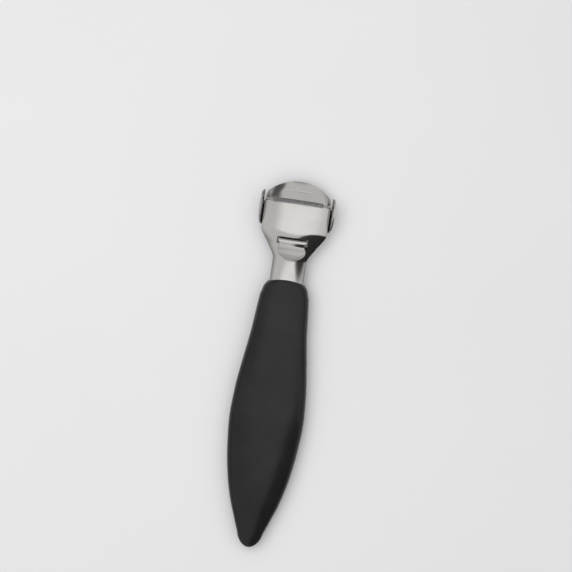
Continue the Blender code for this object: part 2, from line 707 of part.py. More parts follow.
def make_clamp(steel):
    place, height = clamp_line()
    slope = np.gradient(np.column_stack([place, height]), axis=0)
    slope = slope / np.linalg.norm(slope, axis=1, keepdims=True)
    across = np.linspace(-1, 1, CLAMP_COLUMNS + 1)
    half = clamp_half_arc(place)
    arc = half[:, None] * across[None, :]
    mid_radius = clamp_top_radius() - CLAMP_SHEET / 2
    turn = arc / mid_radius
    x = mid_radius * np.sin(turn)
    drop = mid_radius * (1 - np.cos(turn))
    middle = np.stack([x, np.repeat(along(place)[:, None], len(across), axis=1), height[:, None] - drop], axis=2)
    normal = grid_normals(middle)
    upper = middle + normal * CLAMP_SHEET / 2
    lower = middle - normal * CLAMP_SHEET / 2
    clamp = solid_between("blade_clamp", upper, lower, steel)

    line = cheek_line()
    along_line = np.gradient(line, axis=0)
    along_line = along_line / np.linalg.norm(along_line, axis=1, keepdims=True)
    aside = np.column_stack([-along_line[:, 1], along_line[:, 0]])
    thick = CLAMP_SHEET / 2 - CHEEK_ROOT_SET_IN
    section = np.vstack([line + aside * thick, (line - aside * thick)[::-1]])
    for side in (-1, 1):
        outline = [(side * px, pz) for px, pz in section]
        cheek = prism(
            f"cheek_{side + 1}", outline, 1, along(CHEEK_REAR) - CUT_OVERRUN, along(CHEEK_FRONT) + CUT_OVERRUN
        )
        shape = prism(
            f"cheek_shape_{side + 1}", cheek_outline(), 0, -CHEEK_HALF_WIDTH - CUT_OVERRUN, CHEEK_HALF_WIDTH + CUT_OVERRUN
        )
        combine(cheek, shape, "INTERSECT")
        combine(clamp, cheek, "UNION")
        pip_x = side * PIP_OFFSET
        top_at = arch_centre() + math.sqrt(clamp_top_radius() ** 2 - pip_x**2)
        pip = prism(
            f"pip_{side + 1}",
            circle(pip_x, along(PIP_PLACE), PIP_RADIUS),
            2,
            top_at - CLAMP_SHEET / 2,
            top_at + PIP_RISE,
        )
        combine(clamp, pip, "UNION")

    # The clamp turns about the rear slot, so its origin lies on that axis
    pivot = (0.0, along(HINGE_PLACE), hinge_height())
    clamp.data.transform(translation(-pivot[0], -pivot[1], -pivot[2]))
    clamp.location = pivot
    return clamp


def translation(x, y, z):
    from mathutils import Matrix

    return Matrix.Translation((x, y, z))


def main():
    clear_scene()
    plastic = material("black_plastic", PLASTIC_COLOUR, 0.0, 0.25)
    frame_steel = material("frame_steel", STEEL_COLOUR, 1.0, 0.12)
    clamp_steel = material("clamp_steel", STEEL_COLOUR, 1.0, 0.15)
    blade_steel = material("blade_steel", BLADE_COLOUR, 1.0, 0.22)
    make_handle(plastic)
    make_frame(frame_steel)
    clamp = make_clamp(clamp_steel)
    blade = make_blade(blade_steel)
    # The blade rides on the clamp
    blade.data.transform(translation(*(-clamp.location)))
    blade.parent = clamp


main()
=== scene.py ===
"""Corn cutter: smooth surfaces, finishes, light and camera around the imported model.

Sizes are in metres. The tool points along +Y with its working face up, and places along it are counted
from the handle's tip. Each surface is worked out on a grid of two parameters.
"""

import json
import math

import bmesh
import bpy
import numpy as np
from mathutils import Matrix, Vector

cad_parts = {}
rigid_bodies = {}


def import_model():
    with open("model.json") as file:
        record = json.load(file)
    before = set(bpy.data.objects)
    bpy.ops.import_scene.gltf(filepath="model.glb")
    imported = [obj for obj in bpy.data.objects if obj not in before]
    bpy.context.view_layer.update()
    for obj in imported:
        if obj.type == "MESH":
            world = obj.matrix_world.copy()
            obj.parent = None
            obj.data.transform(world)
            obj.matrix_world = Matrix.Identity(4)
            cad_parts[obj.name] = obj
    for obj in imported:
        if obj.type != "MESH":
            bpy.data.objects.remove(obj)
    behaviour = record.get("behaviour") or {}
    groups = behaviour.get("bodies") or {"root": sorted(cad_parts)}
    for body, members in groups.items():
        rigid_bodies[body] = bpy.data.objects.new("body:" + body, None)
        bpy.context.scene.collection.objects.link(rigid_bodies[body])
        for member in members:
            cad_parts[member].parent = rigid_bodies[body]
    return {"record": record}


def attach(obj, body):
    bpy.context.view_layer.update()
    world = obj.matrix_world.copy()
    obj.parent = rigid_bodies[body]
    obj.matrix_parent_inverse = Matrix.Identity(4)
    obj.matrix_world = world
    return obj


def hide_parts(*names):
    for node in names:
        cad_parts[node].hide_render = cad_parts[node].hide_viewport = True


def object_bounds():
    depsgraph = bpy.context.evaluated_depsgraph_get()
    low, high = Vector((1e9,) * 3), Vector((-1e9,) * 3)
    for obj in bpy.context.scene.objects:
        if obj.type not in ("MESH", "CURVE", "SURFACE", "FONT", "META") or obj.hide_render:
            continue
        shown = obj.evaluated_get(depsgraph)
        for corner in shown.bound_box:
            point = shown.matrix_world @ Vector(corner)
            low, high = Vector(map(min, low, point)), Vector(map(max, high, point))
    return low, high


bl_info = {
    "name": "Corn Cutter",
    "version": (1, 0, 0),
    "blender": (4, 5, 0),
    "location": "View3D > Sidebar > Corn Cutter",
    "description": "Builds the dressed pieces of a corn cutter around its model",
    "category": "Object",
}

for leftover in list(bpy.data.objects):
    bpy.data.objects.remove(leftover, do_unlink=True)
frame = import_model()
CAD_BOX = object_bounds()

MM = 0.001
PIECE_GAP = 0.3 * MM
MERGE_DISTANCE = 1e-7
SLOPE_STEP = 1e-5
INWARD_SHARE = 1e-3
ON_AXIS = 1e-9
SHARP_ANGLE = math.radians(38.0)
WEAR_AND_SHADE_ATTRIBUTE = "wear_and_shade_share"
PAINTED_SHADE_ATTRIBUTE = "painted_shade_share"

# Half width and top and bottom heights of the handle, as (share of the length, share of the size)
HANDLE_WIDTH_SHARES = (
    (0.0, 0.262), (0.045, 0.330), (0.09, 0.450), (0.18, 0.682), (0.27, 0.838), (0.37, 0.945),
    (0.48, 1.0), (0.58, 0.964), (0.69, 0.868), (0.80, 0.758), (0.90, 0.690), (0.94, 0.660),
    (0.972, 0.624), (0.986, 0.590), (0.993, 0.553), (0.9975, 0.520), (1.0, 0.498),
)  # fmt: skip
HANDLE_TOP_SHARES = (
    (0.0, 0.60), (0.09, 0.74), (0.20, 0.87), (0.35, 0.96), (0.50, 1.0), (0.70, 1.0),
    (0.90, 0.98), (0.972, 0.965), (0.986, 0.955), (0.993, 0.94), (0.9975, 0.92), (1.0, 0.88),
)  # fmt: skip
HANDLE_BASE_SHARES = (
    (0.0, 0.12), (0.06, 0.02), (0.13, -0.06), (0.94, -0.06), (0.98, -0.02), (0.993, 0.02), (1.0, 0.08),
)  # fmt: skip
# Thumb tab outline, as (share of the tab's length from its front, share of the tongue's half width)
TAB_OUTLINE_SHARES = (
    (0.0, 0.90), (0.12, 0.985), (0.28, 1.0), (0.46, 0.95),
    (0.64, 0.83), (0.80, 0.64), (0.92, 0.42), (1.0, 0.17),
)  # fmt: skip

# Handle: its skin's superellipse for the front and back shells, and shares of its length or section
SKIN_FULLNESS = {True: 2.2, False: 2.6}
BACK_SOFTNESS = 0.35 * MM
BODY_SHARE, END_SHARE = 0.94, 0.06
END_BOW_SHARE = 0.972
END_FACE_SHARES = (0.06, 0.18, 0.4, 0.7, 1.0)
NEAR_RIM_SHARES = (0.0, 0.0012, 0.004, 0.008, 0.014, 0.022, 0.032, 0.05)
RIM_SHARE = 0.12
RIB_SHARES = (0.30, 0.50)
RIB_HALF_SHEET = 0.7 * MM
TAIL_PEG_SHARES = (0.20, 0.395)
TANG_PEGS_BACK = (21.0 * MM, 5.0 * MM)
TAIL_PEG_RISE, TANG_PEG_RISE = 2.0 * MM, 2.5 * MM
PEG_RADIUS, BOSS_RADIUS, TANG_HOLE_RADIUS = 1.5 * MM, 3.3 * MM, 1.8 * MM
PEG_CLEARANCE, PEG_CHAMFER = 0.3 * MM, 0.3 * MM

# Frame: steps of its grid, the crease's fading ends and how the columns and rows turn around the slots
WIDE_STEP = 0.45 * MM
CORNER_STEPS = (0.4, 0.7, 1.0)
COLUMNS_OPEN = (4.6 * MM, 0.8 * MM)
SIDE_PULL_POWER = 8
PULL_REACH = 1.2 * MM
CREASE_FADE = 1.5 * MM

# Clamp: where its line passes the crest, the slot and the bend, and the forms of cheeks and pips
CREST_END_SHARE = 0.93
PLUNGE_END_SHARE, LEFT_BELOW_PLUNGE = 1.4, 0.4
BEND_SHARE, LEFT_IN_BEND = 0.65, 0.06
CHEEK_OVERLAP = 0.7 * MM
CHEEK_JOINED, CHEEK_PAST_CLAMP = 1.1 * MM, 0.1 * MM
CHEEK_LIFT_AHEAD = (-0.6 * MM, 0.4 * MM)
CHEEK_REAR_ROUND = 2.2 * MM
CHEEK_FULLNESS = 2.2
CHEEK_THINNER = 0.01 * MM
PIP_POWER = 0.7
BLADE_ROUND = 0.04 * MM

# Wear, and painted shade: widths over which they die away, and how far they go
EDGE_WEAR, SEAM_WEAR, END_WEAR = 0.25 * MM, 0.6 * MM, 1.0 * MM
CUT_RIM_SHADE, CUT_RIM_WIDTH = 0.85, 0.14 * MM
STEP_SHADE = 2.4
TAB_SHADE, TAB_UNSHADED_RIM = 0.36, 0.35 * MM
CHEEK_SHADE_FADE = 0.55
CLAMP_ROUGHER = 0.02

# What polished steel mirrors: an overhead oval in directions, its levels, and dark fields as
# (direction, cosine where each starts, cosine where it is full, depth)
OVERHEAD_SCALE = (1 / 0.72, 1 / 0.30, 0.0)
OVERHEAD_SHIFT = (-0.19, -0.33, 0.0)
OVERHEAD_FADE = (0.75, 1.25)
OVERHEAD_LEVEL, AROUND_LEVEL = 1.10, 0.70
HORIZON_FADE, HORIZON_SHARE = (0.0, 0.45), 0.4
DARK_FIELDS = (
    ((0.62, -0.62, 0.48), 0.77, 0.83, 0.96),
    ((-0.66, 0.62, 0.43), 0.967, 0.99, 0.85),
    ((0.0, 0.95, 0.30), 0.90, 0.98, 0.50),
)
MIRRORED_TONE = (1.0, 0.985, 0.97, 1)
WHITE = (1, 1, 1, 1)
BACKDROP_LEVEL = 0.95
DAYLIGHT_FADE, DAYLIGHT_LOW_SHARE = (0.1, 0.8), 0.08

# Lamp, camera and floor
LAMP_PLACE = (-0.22, 0.12, 0.62)
LAMP_TURNS = (math.radians(-8), math.radians(-19), 0.0)
SENSOR_WIDTH = 36.0
CLIP_RANGE = (0.01, 10.0)
FOCUS_LEVEL = 8 * MM
FLOOR_GAP = 0.02 * MM

# Sizes and colours that a user may change


def size(name, description, default_mm):
    return bpy.props.FloatProperty(
        name=name, description=description, default=default_mm * MM, min=0.0, precision=5, unit="LENGTH"
    )


def turn(name, description, default_degrees):
    return bpy.props.FloatProperty(
        name=name, description=description, default=math.radians(default_degrees), unit="ROTATION"
    )


def share(name, description, default):
    return bpy.props.FloatProperty(
        name=name, description=description, default=default, min=0.0, max=1.0, subtype="FACTOR"
    )


def colour(name, description, default):
    return bpy.props.FloatVectorProperty(
        name=name, description=description, default=default, size=3, min=0.0, max=1.0, subtype="COLOR"
    )


class CutterHandle(bpy.types.PropertyGroup):
    """Sizes of the two moulded handle shells."""

    length: size("Length", "Handle from its tip to its end at the neck", 113.9)
    half_width: size("Half width", "Half of the widest part", 15.8)
    thickness: size("Thickness", "Height at the thickest part", 11.0)
    wall: size("Wall", "Wall of the shells", 1.7)
    end_wall: size("End wall", "Solid stretch at the neck", 7.4)
    seam: size("Seam height", "Height at which the shells meet", 4.6)
    nose: size("Nose length", "Rounded stretch at the tip", 5.0)
    end_radius: size("End radius", "Radius of the end face seen from above", 28.0)
    lip: size("Seam lip", "Rounding along the seam", 0.25)
    cavity_start: size("Cavity start", "Where the hollow begins, from the tip", 10.0)


class CutterHead(bpy.types.PropertyGroup):
    """Sizes of the stamped frame."""

    sheet: size("Sheet", "Thickness of the stamping", 0.9)
    edge: size("Edge rounding", "Rounding of the sheet's edges", 0.2)
    tang_length: size("Tang length", "Flat tang inside the handle", 29.0)
    tang_half_width: size("Tang half width", "Half width of the tang", 5.0)
    tang_crown: size("Tang crown", "Height of the tang's arch", 0.1)
    tang_rise: size("Tang rise", "Length over which the tang rises to the neck", 9.0)
    neck_set_in: size("Neck set in", "Neck behind the end wall", 0.5)
    neck_length: size("Neck length", "Straight neck outside the handle", 8.9)
    neck_half_width: size("Neck half width", "Half width of the neck", 7.5)
    neck_crown: size("Neck crown", "Height of the neck's arch", 3.2)
    flare_length: size("Flare length", "Neck's end to the full width", 11.7)
    plate_length: size("Plate length", "Full width to the mouth", 11.7)
    plate_half_width: size("Plate half width", "Half width of the head", 14.1)
    plate_crown: size("Plate crown", "Height of the head's arch", 4.6)
    plate_top: size("Plate top", "Height of the plate's crest", 11.0)
    mouth_width: size("Mouth width", "Slot that the blade shows in", 1.6)
    mouth_half: size("Mouth half length", "Half length of that slot", 10.5)
    guard_length: size("Guard length", "Mouth to the front edge", 8.2)
    guard_set_back: size("Guard set back", "How far the front arc's corners lie back", 6.3)
    guard_corner: size("Guard corner", "Rounding of the guard's corners seen from above", 3.5)
    guard_fall: turn("Guard fall", "Slope of the guard", 18.0)
    guard_step: size("Guard step", "Drop across the mouth", 1.3)
    rim_droop: size("Rim droop", "Fall of the guard's front rim", 0.28)
    rim_width: size("Rim width", "Width over which that rim falls", 3.2)
    climb: size("Neck climb", "Early rise of the neck towards the head, gone again at the rear slot", 0.7)
    climb_start: size("Climb start", "Where that rise begins, inside the handle", 1.5)
    crease_place: size("Crease place", "Pressed line ahead of the mouth", 3.8)
    crease_half: size("Crease half length", "Half length of that line", 6.3)
    crease_depth: size("Crease depth", "Depth of that line", 0.07)
    crease_width: size("Crease width", "Half width of that line", 0.28)
    slot_set_back: size("Rear slot set back", "Rear slot behind the full width", 2.8)
    slot_width: size("Rear slot width", "Width of the rear slot", 2.6)
    slot_half: size("Rear slot half length", "Half length of the rear slot", 6.45)
    slot_corner: size("Slot corner", "Rounding of both slots' corners", 0.3)


class CutterBlade(bpy.types.PropertyGroup):
    """Sizes of the blade."""

    sheet: size("Sheet", "Thickness of the blade", 0.3)
    depth: size("Depth", "Blade from its back to its edge", 10.0)
    reach: size("Reach", "Edge ahead of the mouth's rear", 0.8)
    bevel: size("Bevel", "Length of the ground face", 1.6)
    edge_sheet: size("Edge", "Thickness left at the edge", 0.06)
    hole_radius: size("Hole radius", "Holes for the clamp's pips", 1.2)


class CutterClamp(bpy.types.PropertyGroup):
    """Sizes of the blade clamp."""

    sheet: size("Sheet", "Thickness of the stamping", 0.8)
    edge: size("Edge rounding", "Rounding of the sheet's edges", 0.18)
    set_back: size("Set back", "Front edge behind the mouth", 1.0)
    half_arc: size("Half arc", "Half width along the arch", 13.4)
    root_length: size("Tongue root", "Straight root ahead of the slot", 1.5)
    shoulder: size("Shoulder", "Length over which the clamp widens", 4.3)
    tongue_half: size("Tongue half width", "Half width of the tongue", 6.1)
    waist_half: size("Waist half width", "Half width of the waist before the tab", 5.0)
    root_reach: size("Root reach", "Bend from the slot down to the clamp's level", 2.0)
    crest_back: size("Crest back", "Crest behind the slot's middle", 0.55)
    crest_rise: size("Crest rise", "Crest over the hinge", 1.45)
    crest_top: size("Crest top", "Length of the crest before it turns down", 0.6)
    plunge: size("Plunge", "Tongue ahead of the slot's middle where it passes the frame", 0.5)
    dip_back: size("Dip back", "Dip behind the slot's middle", 2.2)
    dip_rise: size("Dip rise", "Dip over the hinge", 1.0)
    tab_set_back: size("Tab set back", "Tab behind the slot's middle", 2.9)
    tab_length: size("Tab length", "Length of the thumb tab", 5.4)
    tab_rise: size("Tab rise", "Rear of the tab over the hinge", 2.4)
    tab_dish: size("Tab dish", "Depth of the tab's dished middle", 0.16)
    tab_rim: size("Tab rim", "Width of the slope inside the tab's rim", 0.9)
    tab_roll: size("Tab roll", "Fall of the tab's outermost rim", 0.13)
    cheek_overhang: size("Cheek overhang", "Cheeks ahead of the mouth", 2.9)
    cheek_length: size("Cheek length", "Length of a cheek", 14.6)
    cheek_half: size("Cheek half width", "Half width over the cheeks", 16.1)
    cheek_lean: turn("Cheek lean", "Slope of the cheeks", 65.0)
    cheek_bend: size("Cheek bend", "Inner radius of the cheek's bend", 0.6)
    cheek_clearance: size("Cheek clearance", "Gap from the frame's edge", 0.35)
    cheek_lift: size("Cheek lift", "Rise of a cheek's lower edge past the mouth", 1.0)
    pip_radius: size("Pip radius", "Pips that hold the blade", 0.9)
    pip_rise: size("Pip rise", "Height of the pips", 0.45)
    pip_set_back: size("Pip set back", "Pips behind the blade's edge", 6.0)
    pip_offset: size("Pip offset", "Pips aside of the middle", 7.0)


class CutterFinish(bpy.types.PropertyGroup):
    """Colours and gloss."""

    plastic: colour("Plastic", "Moulded handle", (0.012, 0.012, 0.013))
    steel: colour("Steel", "Polished stampings", (0.62, 0.61, 0.60))
    blade: colour("Blade", "Satin blade", (0.50, 0.51, 0.53))
    plastic_gloss: share("Plastic roughness", "Roughness of the handle", 0.18)
    plastic_shine: share("Plastic shine", "Strength of the handle's reflections", 0.28)
    steel_gloss: share("Steel roughness", "Roughness of the stampings", 0.12)
    blade_gloss: share("Blade roughness", "Roughness of the blade", 0.24)


class CutterStage(bpy.types.PropertyGroup):
    """Floor, light and camera."""

    floor: colour("Floor", "Pale floor", (0.84, 0.84, 0.85))
    floor_size: size("Floor size", "Side of the floor", 4000.0)
    sky: share("Sky", "Strength of the even light overhead", 0.88)
    lamp_power: bpy.props.FloatProperty(
        name="Lamp", description="Power of the soft box", default=1.5, min=0.0, unit="POWER"
    )
    lamp_size: size("Lamp size", "Side of the soft box", 600.0)
    frame_width: size("Frame width", "Width that the camera sees at the tool", 240.8)
    camera_height: size("Camera height", "Camera over the tool", 800.0)
    camera_roll: turn("Camera roll", "Turn of the tool in the picture", 8.35)
    centre_x: size("Centre aside", "Middle of the picture, across the tool", 0.0)
    centre_y: size("Centre along", "Middle of the picture, along the tool", 33.5)


GROUPS = {
    "cutter_handle": CutterHandle,
    "cutter_head": CutterHead,
    "cutter_blade": CutterBlade,
    "cutter_clamp": CutterClamp,
    "cutter_finish": CutterFinish,
    "cutter_stage": CutterStage,
}


# Curves


def curve_through(shares, at):
    """Cubic between given points; the slope at each is the harmonic mean of its neighbours' slopes."""
    known = np.array(shares, float)
    x, y = known[:, 0], known[:, 1]
    rise = np.diff(y) / np.diff(x)
    slope = np.empty_like(y)
    slope[0], slope[-1] = rise[0], rise[-1]
    same_way = rise[:-1] * rise[1:] > 0
    safe = np.where(same_way, rise[:-1] + rise[1:], 1.0)
    slope[1:-1] = np.where(same_way, 2 * rise[:-1] * rise[1:] / safe, 0.0)
    at = np.clip(np.asarray(at, float), x[0], x[-1])
    left = np.clip(np.searchsorted(x, at, side="right") - 1, 0, len(x) - 2)
    run = x[left + 1] - x[left]
    part = (at - x[left]) / run
    return (
        y[left] * (1 + 2 * part) * (1 - part) ** 2
        + slope[left] * run * part * (1 - part) ** 2
        + y[left + 1] * part**2 * (3 - 2 * part)
        + slope[left + 1] * run * part**2 * (part - 1)
    )


def part_way(value, low, high):
    """How far value is from low to high, held between 0 and 1."""
    return np.clip((np.asarray(value, float) - low) / (high - low), 0.0, 1.0)


def eased(value, low, high):
    """part_way with level ends: three times its square less twice its cube."""
    part = part_way(value, low, high)
    return part * part * (3 - 2 * part)


def leg(slant, base):
    """Third side of a right triangle: the root of the slant's square less the base's."""
    return np.sqrt(np.maximum(slant**2 - base**2, 0.0))


def arc_radius(half_width, crown):
    """Radius of an arch from its half width and height."""
    return (half_width**2 + crown**2) / (2 * crown)


def arch_drop(x, radius):
    """How far an arch of that radius falls at x from its crest."""
    return radius - leg(radius, x)


def round_steps(radius, count=5):
    """Distances from an edge at which a quarter round of that radius is cut into equal turns."""
    return radius * (1 - np.cos(np.linspace(0, math.pi / 2, count)))


def spaced(low, high, count, before=(0.0,), after=(0.0,)):
    """Values from low to high: at set distances beside each end, and evenly between them."""
    low, high = np.asarray(low, float)[..., None], np.asarray(high, float)[..., None]
    start, stop = low + np.asarray(before), high - np.asarray(after)[::-1]
    even = np.linspace(0, 1, count + 2)[1:-1]
    middle = start[..., -1:] + (stop[..., :1] - start[..., -1:]) * even
    return np.concatenate([start, middle, stop], axis=-1)


def mirrored_columns(right):
    """Columns from the middle outwards, with their mirror image before them."""
    return np.concatenate([-right[..., :0:-1], right], axis=-1)


def sheet_half(distance, half_sheet, radius):
    """Half thickness of a sheet: full inside, and a quarter round of that radius up to its edge."""
    return half_sheet - radius + leg(radius, radius - np.clip(distance, 0.0, radius))


def fading_from_edge(distance, width):
    """1 at an edge, dying away over that width."""
    return np.exp(-np.maximum(distance, 0.0) / width)


def to_points(x, y, z):
    """Points from coordinates that are single values, rows or grids."""
    return np.stack(np.broadcast_arrays(x, y, z), axis=-1)


def unit(vectors):
    return vectors / np.linalg.norm(vectors, axis=-1, keepdims=True)


def length_so_far(line):
    """How long a line of points is up to each of them."""
    return np.concatenate([[0.0], np.cumsum(np.linalg.norm(np.diff(line, axis=0), axis=1))])


def rows_between(first, last, shares):
    """Rows of points that go from one row to another by those shares."""
    return first + (last - first) * np.asarray(shares)[:, None, None]


class Plan:
    """All sizes, the places that follow from them and the surfaces' formulas."""

    def __init__(self, scene):
        self.handle, self.head = scene.cutter_handle, scene.cutter_head
        self.blade, self.clamp = scene.cutter_blade, scene.cutter_clamp
        handle, head, blade, clamp = self.handle, self.head, self.blade, self.clamp
        self.cavity_end = handle.length - handle.end_wall
        self.neck_start = self.cavity_end - head.neck_set_in
        self.tang_end = self.neck_start - head.tang_rise
        self.tang_start = self.tang_end - head.tang_length
        self.neck_end = handle.length + head.neck_length
        self.plate_start = self.neck_end + head.flare_length
        self.mouth_rear = self.plate_start + head.plate_length
        self.mouth_front = self.mouth_rear + head.mouth_width
        self.overall = self.mouth_front + head.guard_length
        self.slot_front = self.plate_start - head.slot_set_back
        self.slot_back = self.slot_front - head.slot_width
        self.slots = (
            (head.mouth_half, self.mouth_rear, self.mouth_front),
            (head.slot_half, self.slot_back, self.slot_front),
        )
        self.hinge = (self.slot_front + self.slot_back) / 2
        self.blade_edge = self.mouth_rear + blade.reach
        self.blade_back = self.blade_edge - blade.depth
        self.pip = self.blade_edge - clamp.pip_set_back
        self.clamp_front = self.mouth_rear - clamp.set_back
        self.shoulder_back = self.slot_front + clamp.root_length
        self.shoulder_front = self.shoulder_back + clamp.shoulder
        self.tab_front = self.hinge - clamp.tab_set_back
        self.tab_rear = self.tab_front - clamp.tab_length
        self.cheek_front = self.mouth_front + clamp.cheek_overhang
        self.cheek_rear = self.cheek_front - clamp.cheek_length
        self.cheek_free = (self.clamp_front - CHEEK_JOINED, self.clamp_front + CHEEK_PAST_CLAMP)
        self.tang_pegs = tuple(self.tang_end - back for back in TANG_PEGS_BACK)
        self.tail_pegs = tuple(handle.length * s for s in TAIL_PEG_SHARES)
        self.rear_shells_rim = handle.seam - PIECE_GAP / 2
        self.face_shells_rim = handle.seam + PIECE_GAP / 2
        self.neck_radius = arc_radius(head.neck_half_width, head.neck_crown)
        self.tang_top = self.face_shells_rim + head.sheet
        edge_turn = math.asin(head.neck_half_width / self.neck_radius)
        self.neck_top = self.face_shells_rim + head.neck_crown + head.sheet * math.cos(edge_turn)
        self.plate_radius = arc_radius(head.plate_half_width, head.plate_crown)
        self.arch_centre = head.plate_top - self.plate_radius
        self.blade_radius = self.plate_radius - head.sheet - PIECE_GAP
        self.clamp_radius = self.blade_radius - blade.sheet - PIECE_GAP
        self.hinge_height = frame["record"]["behaviour"]["joints"][0]["pos_m"][2]
        self.guard_radius = arc_radius(head.plate_half_width, head.guard_set_back)
        self.guard_centre = self.overall - self.guard_radius
        self.corner_x = head.plate_half_width - head.guard_corner
        self.corner_place = self.guard_centre + leg(self.guard_radius - head.guard_corner, self.corner_x)

    def along(self, place):
        return place - self.overall / 2

    # Handle

    def shell_side(self, face_side):
        """Rim height and skin shares of the front or the back shell."""
        if face_side:
            return self.face_shells_rim, HANDLE_TOP_SHARES
        return self.rear_shells_rim, HANDLE_BASE_SHARES

    def nose_share(self, place):
        """A quarter ellipse: nothing at the tip and full after the nose."""
        return leg(1, 1 - part_way(place, 0.0, self.handle.nose))

    def handle_half_width(self, place):
        shares = curve_through(HANDLE_WIDTH_SHARES, np.asarray(place) / self.handle.length)
        return self.handle.half_width * shares * self.nose_share(place)

    def handle_reach(self, place, face_side):
        """Height of a shell's skin over its rim on the centre line."""
        rim, shares = self.shell_side(face_side)
        full = self.handle.thickness * curve_through(shares, np.asarray(place) / self.handle.length)
        return (full - rim) * self.nose_share(place)

    def end_bow(self, place):
        """Sideways curvature of the cross-sections, from none at the cavity to the end face's arc."""
        full = self.handle.length * END_BOW_SHARE
        return eased(place, self.cavity_end, full) / (2 * self.handle.end_radius)

    # Frame

    def stages(self, place):
        """How far the frame has gone from tang to neck, and from neck to plate."""
        return eased(place, self.tang_end, self.neck_start), eased(place, self.neck_end, self.plate_start)

    def frame_half_width(self, place):
        head = self.head
        inside, flare = self.stages(place)
        flare = (part_way(place, self.neck_end, self.plate_start) + flare) / 2
        narrow = head.tang_half_width + (head.neck_half_width - head.tang_half_width) * inside
        return narrow + (head.plate_half_width - head.neck_half_width) * flare

    def frame_crown(self, place):
        head = self.head
        inside, flare = self.stages(place)
        neck = head.tang_crown + (head.neck_crown - head.tang_crown) * inside
        return neck + (head.plate_crown - head.neck_crown) * flare

    def frame_top(self, place):
        """Height of the upper face on the centre line: eased rises, the mouth's step and the guard's slope.

        A low early rise, the square of the run from inside the handle, carries the neck into the flare.
        """
        head = self.head
        inside, flare = self.stages(place)
        rise = (self.neck_top - self.tang_top) * inside + (head.plate_top - self.neck_top) * flare
        start = self.handle.length - head.climb_start
        run = np.maximum(np.asarray(place) - start, 0.0) / (self.neck_end + head.climb_start - start)
        rise = rise + head.climb * run**2 * (1 - eased(place, self.neck_end, self.slot_back))
        step = head.guard_step * eased(place, self.mouth_rear, self.mouth_front)
        fall = np.maximum(np.asarray(place) - self.mouth_front, 0.0) * math.tan(head.guard_fall)
        return self.tang_top + rise - step - fall

    def frame_height(self, x, place):
        """Height of the upper face: centre line less the arch's drop, the crease and the rim's droop."""
        head = self.head
        radius = arc_radius(self.frame_half_width(place), self.frame_crown(place))
        beside = (place - self.mouth_front - head.crease_place) / head.crease_width
        ends = 1 - eased(np.abs(x), head.crease_half - CREASE_FADE, head.crease_half)
        crease = head.crease_depth * np.exp(-(beside**2)) * ends
        from_rim = np.maximum(self.guard_radius - np.hypot(x, place - self.guard_centre), 0.0)
        droop = head.rim_droop * (1 - part_way(from_rim, 0.0, head.rim_width)) ** 2
        droop = droop * eased(place, self.mouth_front, self.mouth_front + head.rim_width / 2)
        return self.frame_top(place) - arch_drop(x, radius) - crease - droop

    def slot_distance(self, x, place, half, rear, front):
        """Distance to a slot with round corners: outside it above 0."""
        corner = self.head.slot_corner
        aside = np.abs(x) - (half - corner)
        ahead = np.abs(place - (rear + front) / 2) - ((front - rear) / 2 - corner)
        outside = np.hypot(np.maximum(aside, 0), np.maximum(ahead, 0))
        return outside + np.minimum(np.maximum(aside, ahead), 0) - corner

    def slots_distance(self, x, place):
        """Distance to the nearer of the mouth and the rear slot."""
        return np.minimum(*(self.slot_distance(x, place, *slot) for slot in self.slots))

    def frame_distance(self, x, place):
        """Distance to the nearest edge of the frame: its sides, front arc, corners, tang's end or slots."""
        head = self.head
        slope = self.frame_half_width(place + SLOPE_STEP) - self.frame_half_width(place - SLOPE_STEP)
        slope = slope / (2 * SLOPE_STEP)
        side = (self.frame_half_width(place) - np.abs(x)) / np.sqrt(1 + slope**2)
        ahead = place - self.guard_centre
        front = self.guard_radius - np.hypot(x, ahead)
        corner = head.guard_corner - np.hypot(np.abs(x) - self.corner_x, place - self.corner_place)
        lean = ahead * self.corner_x < np.abs(x) * (self.corner_place - self.guard_centre)
        in_corner = (place > self.corner_place) & lean & (np.abs(x) > self.corner_x)
        rim = np.minimum(side, np.where(place > self.mouth_front, front, side))
        rim = np.minimum(np.where(in_corner, corner, rim), place - self.tang_start)
        return np.maximum(np.minimum(rim, self.slots_distance(x, place)), 0.0)

    # Clamp

    def clamp_half_arc(self, place):
        """Half width along the arch: the tab's outline, the waist, the tongue, then out to the plate's."""
        clamp = self.clamp
        crest = self.hinge - clamp.crest_back
        tab = curve_through(TAB_OUTLINE_SHARES, part_way(place, self.tab_front, self.tab_rear))
        tab = tab * clamp.tongue_half
        waist = part_way(place, self.tab_front, crest)
        dip = clamp.waist_half + (clamp.tongue_half - clamp.waist_half) * np.abs(2 * waist - 1) ** 2
        widening = eased(place, self.shoulder_back, self.shoulder_front)
        body = clamp.tongue_half + (clamp.half_arc - clamp.tongue_half) * widening
        width = np.where(place < self.tab_front, tab, np.minimum(dip, tab))
        return np.where(place > crest, body, width)

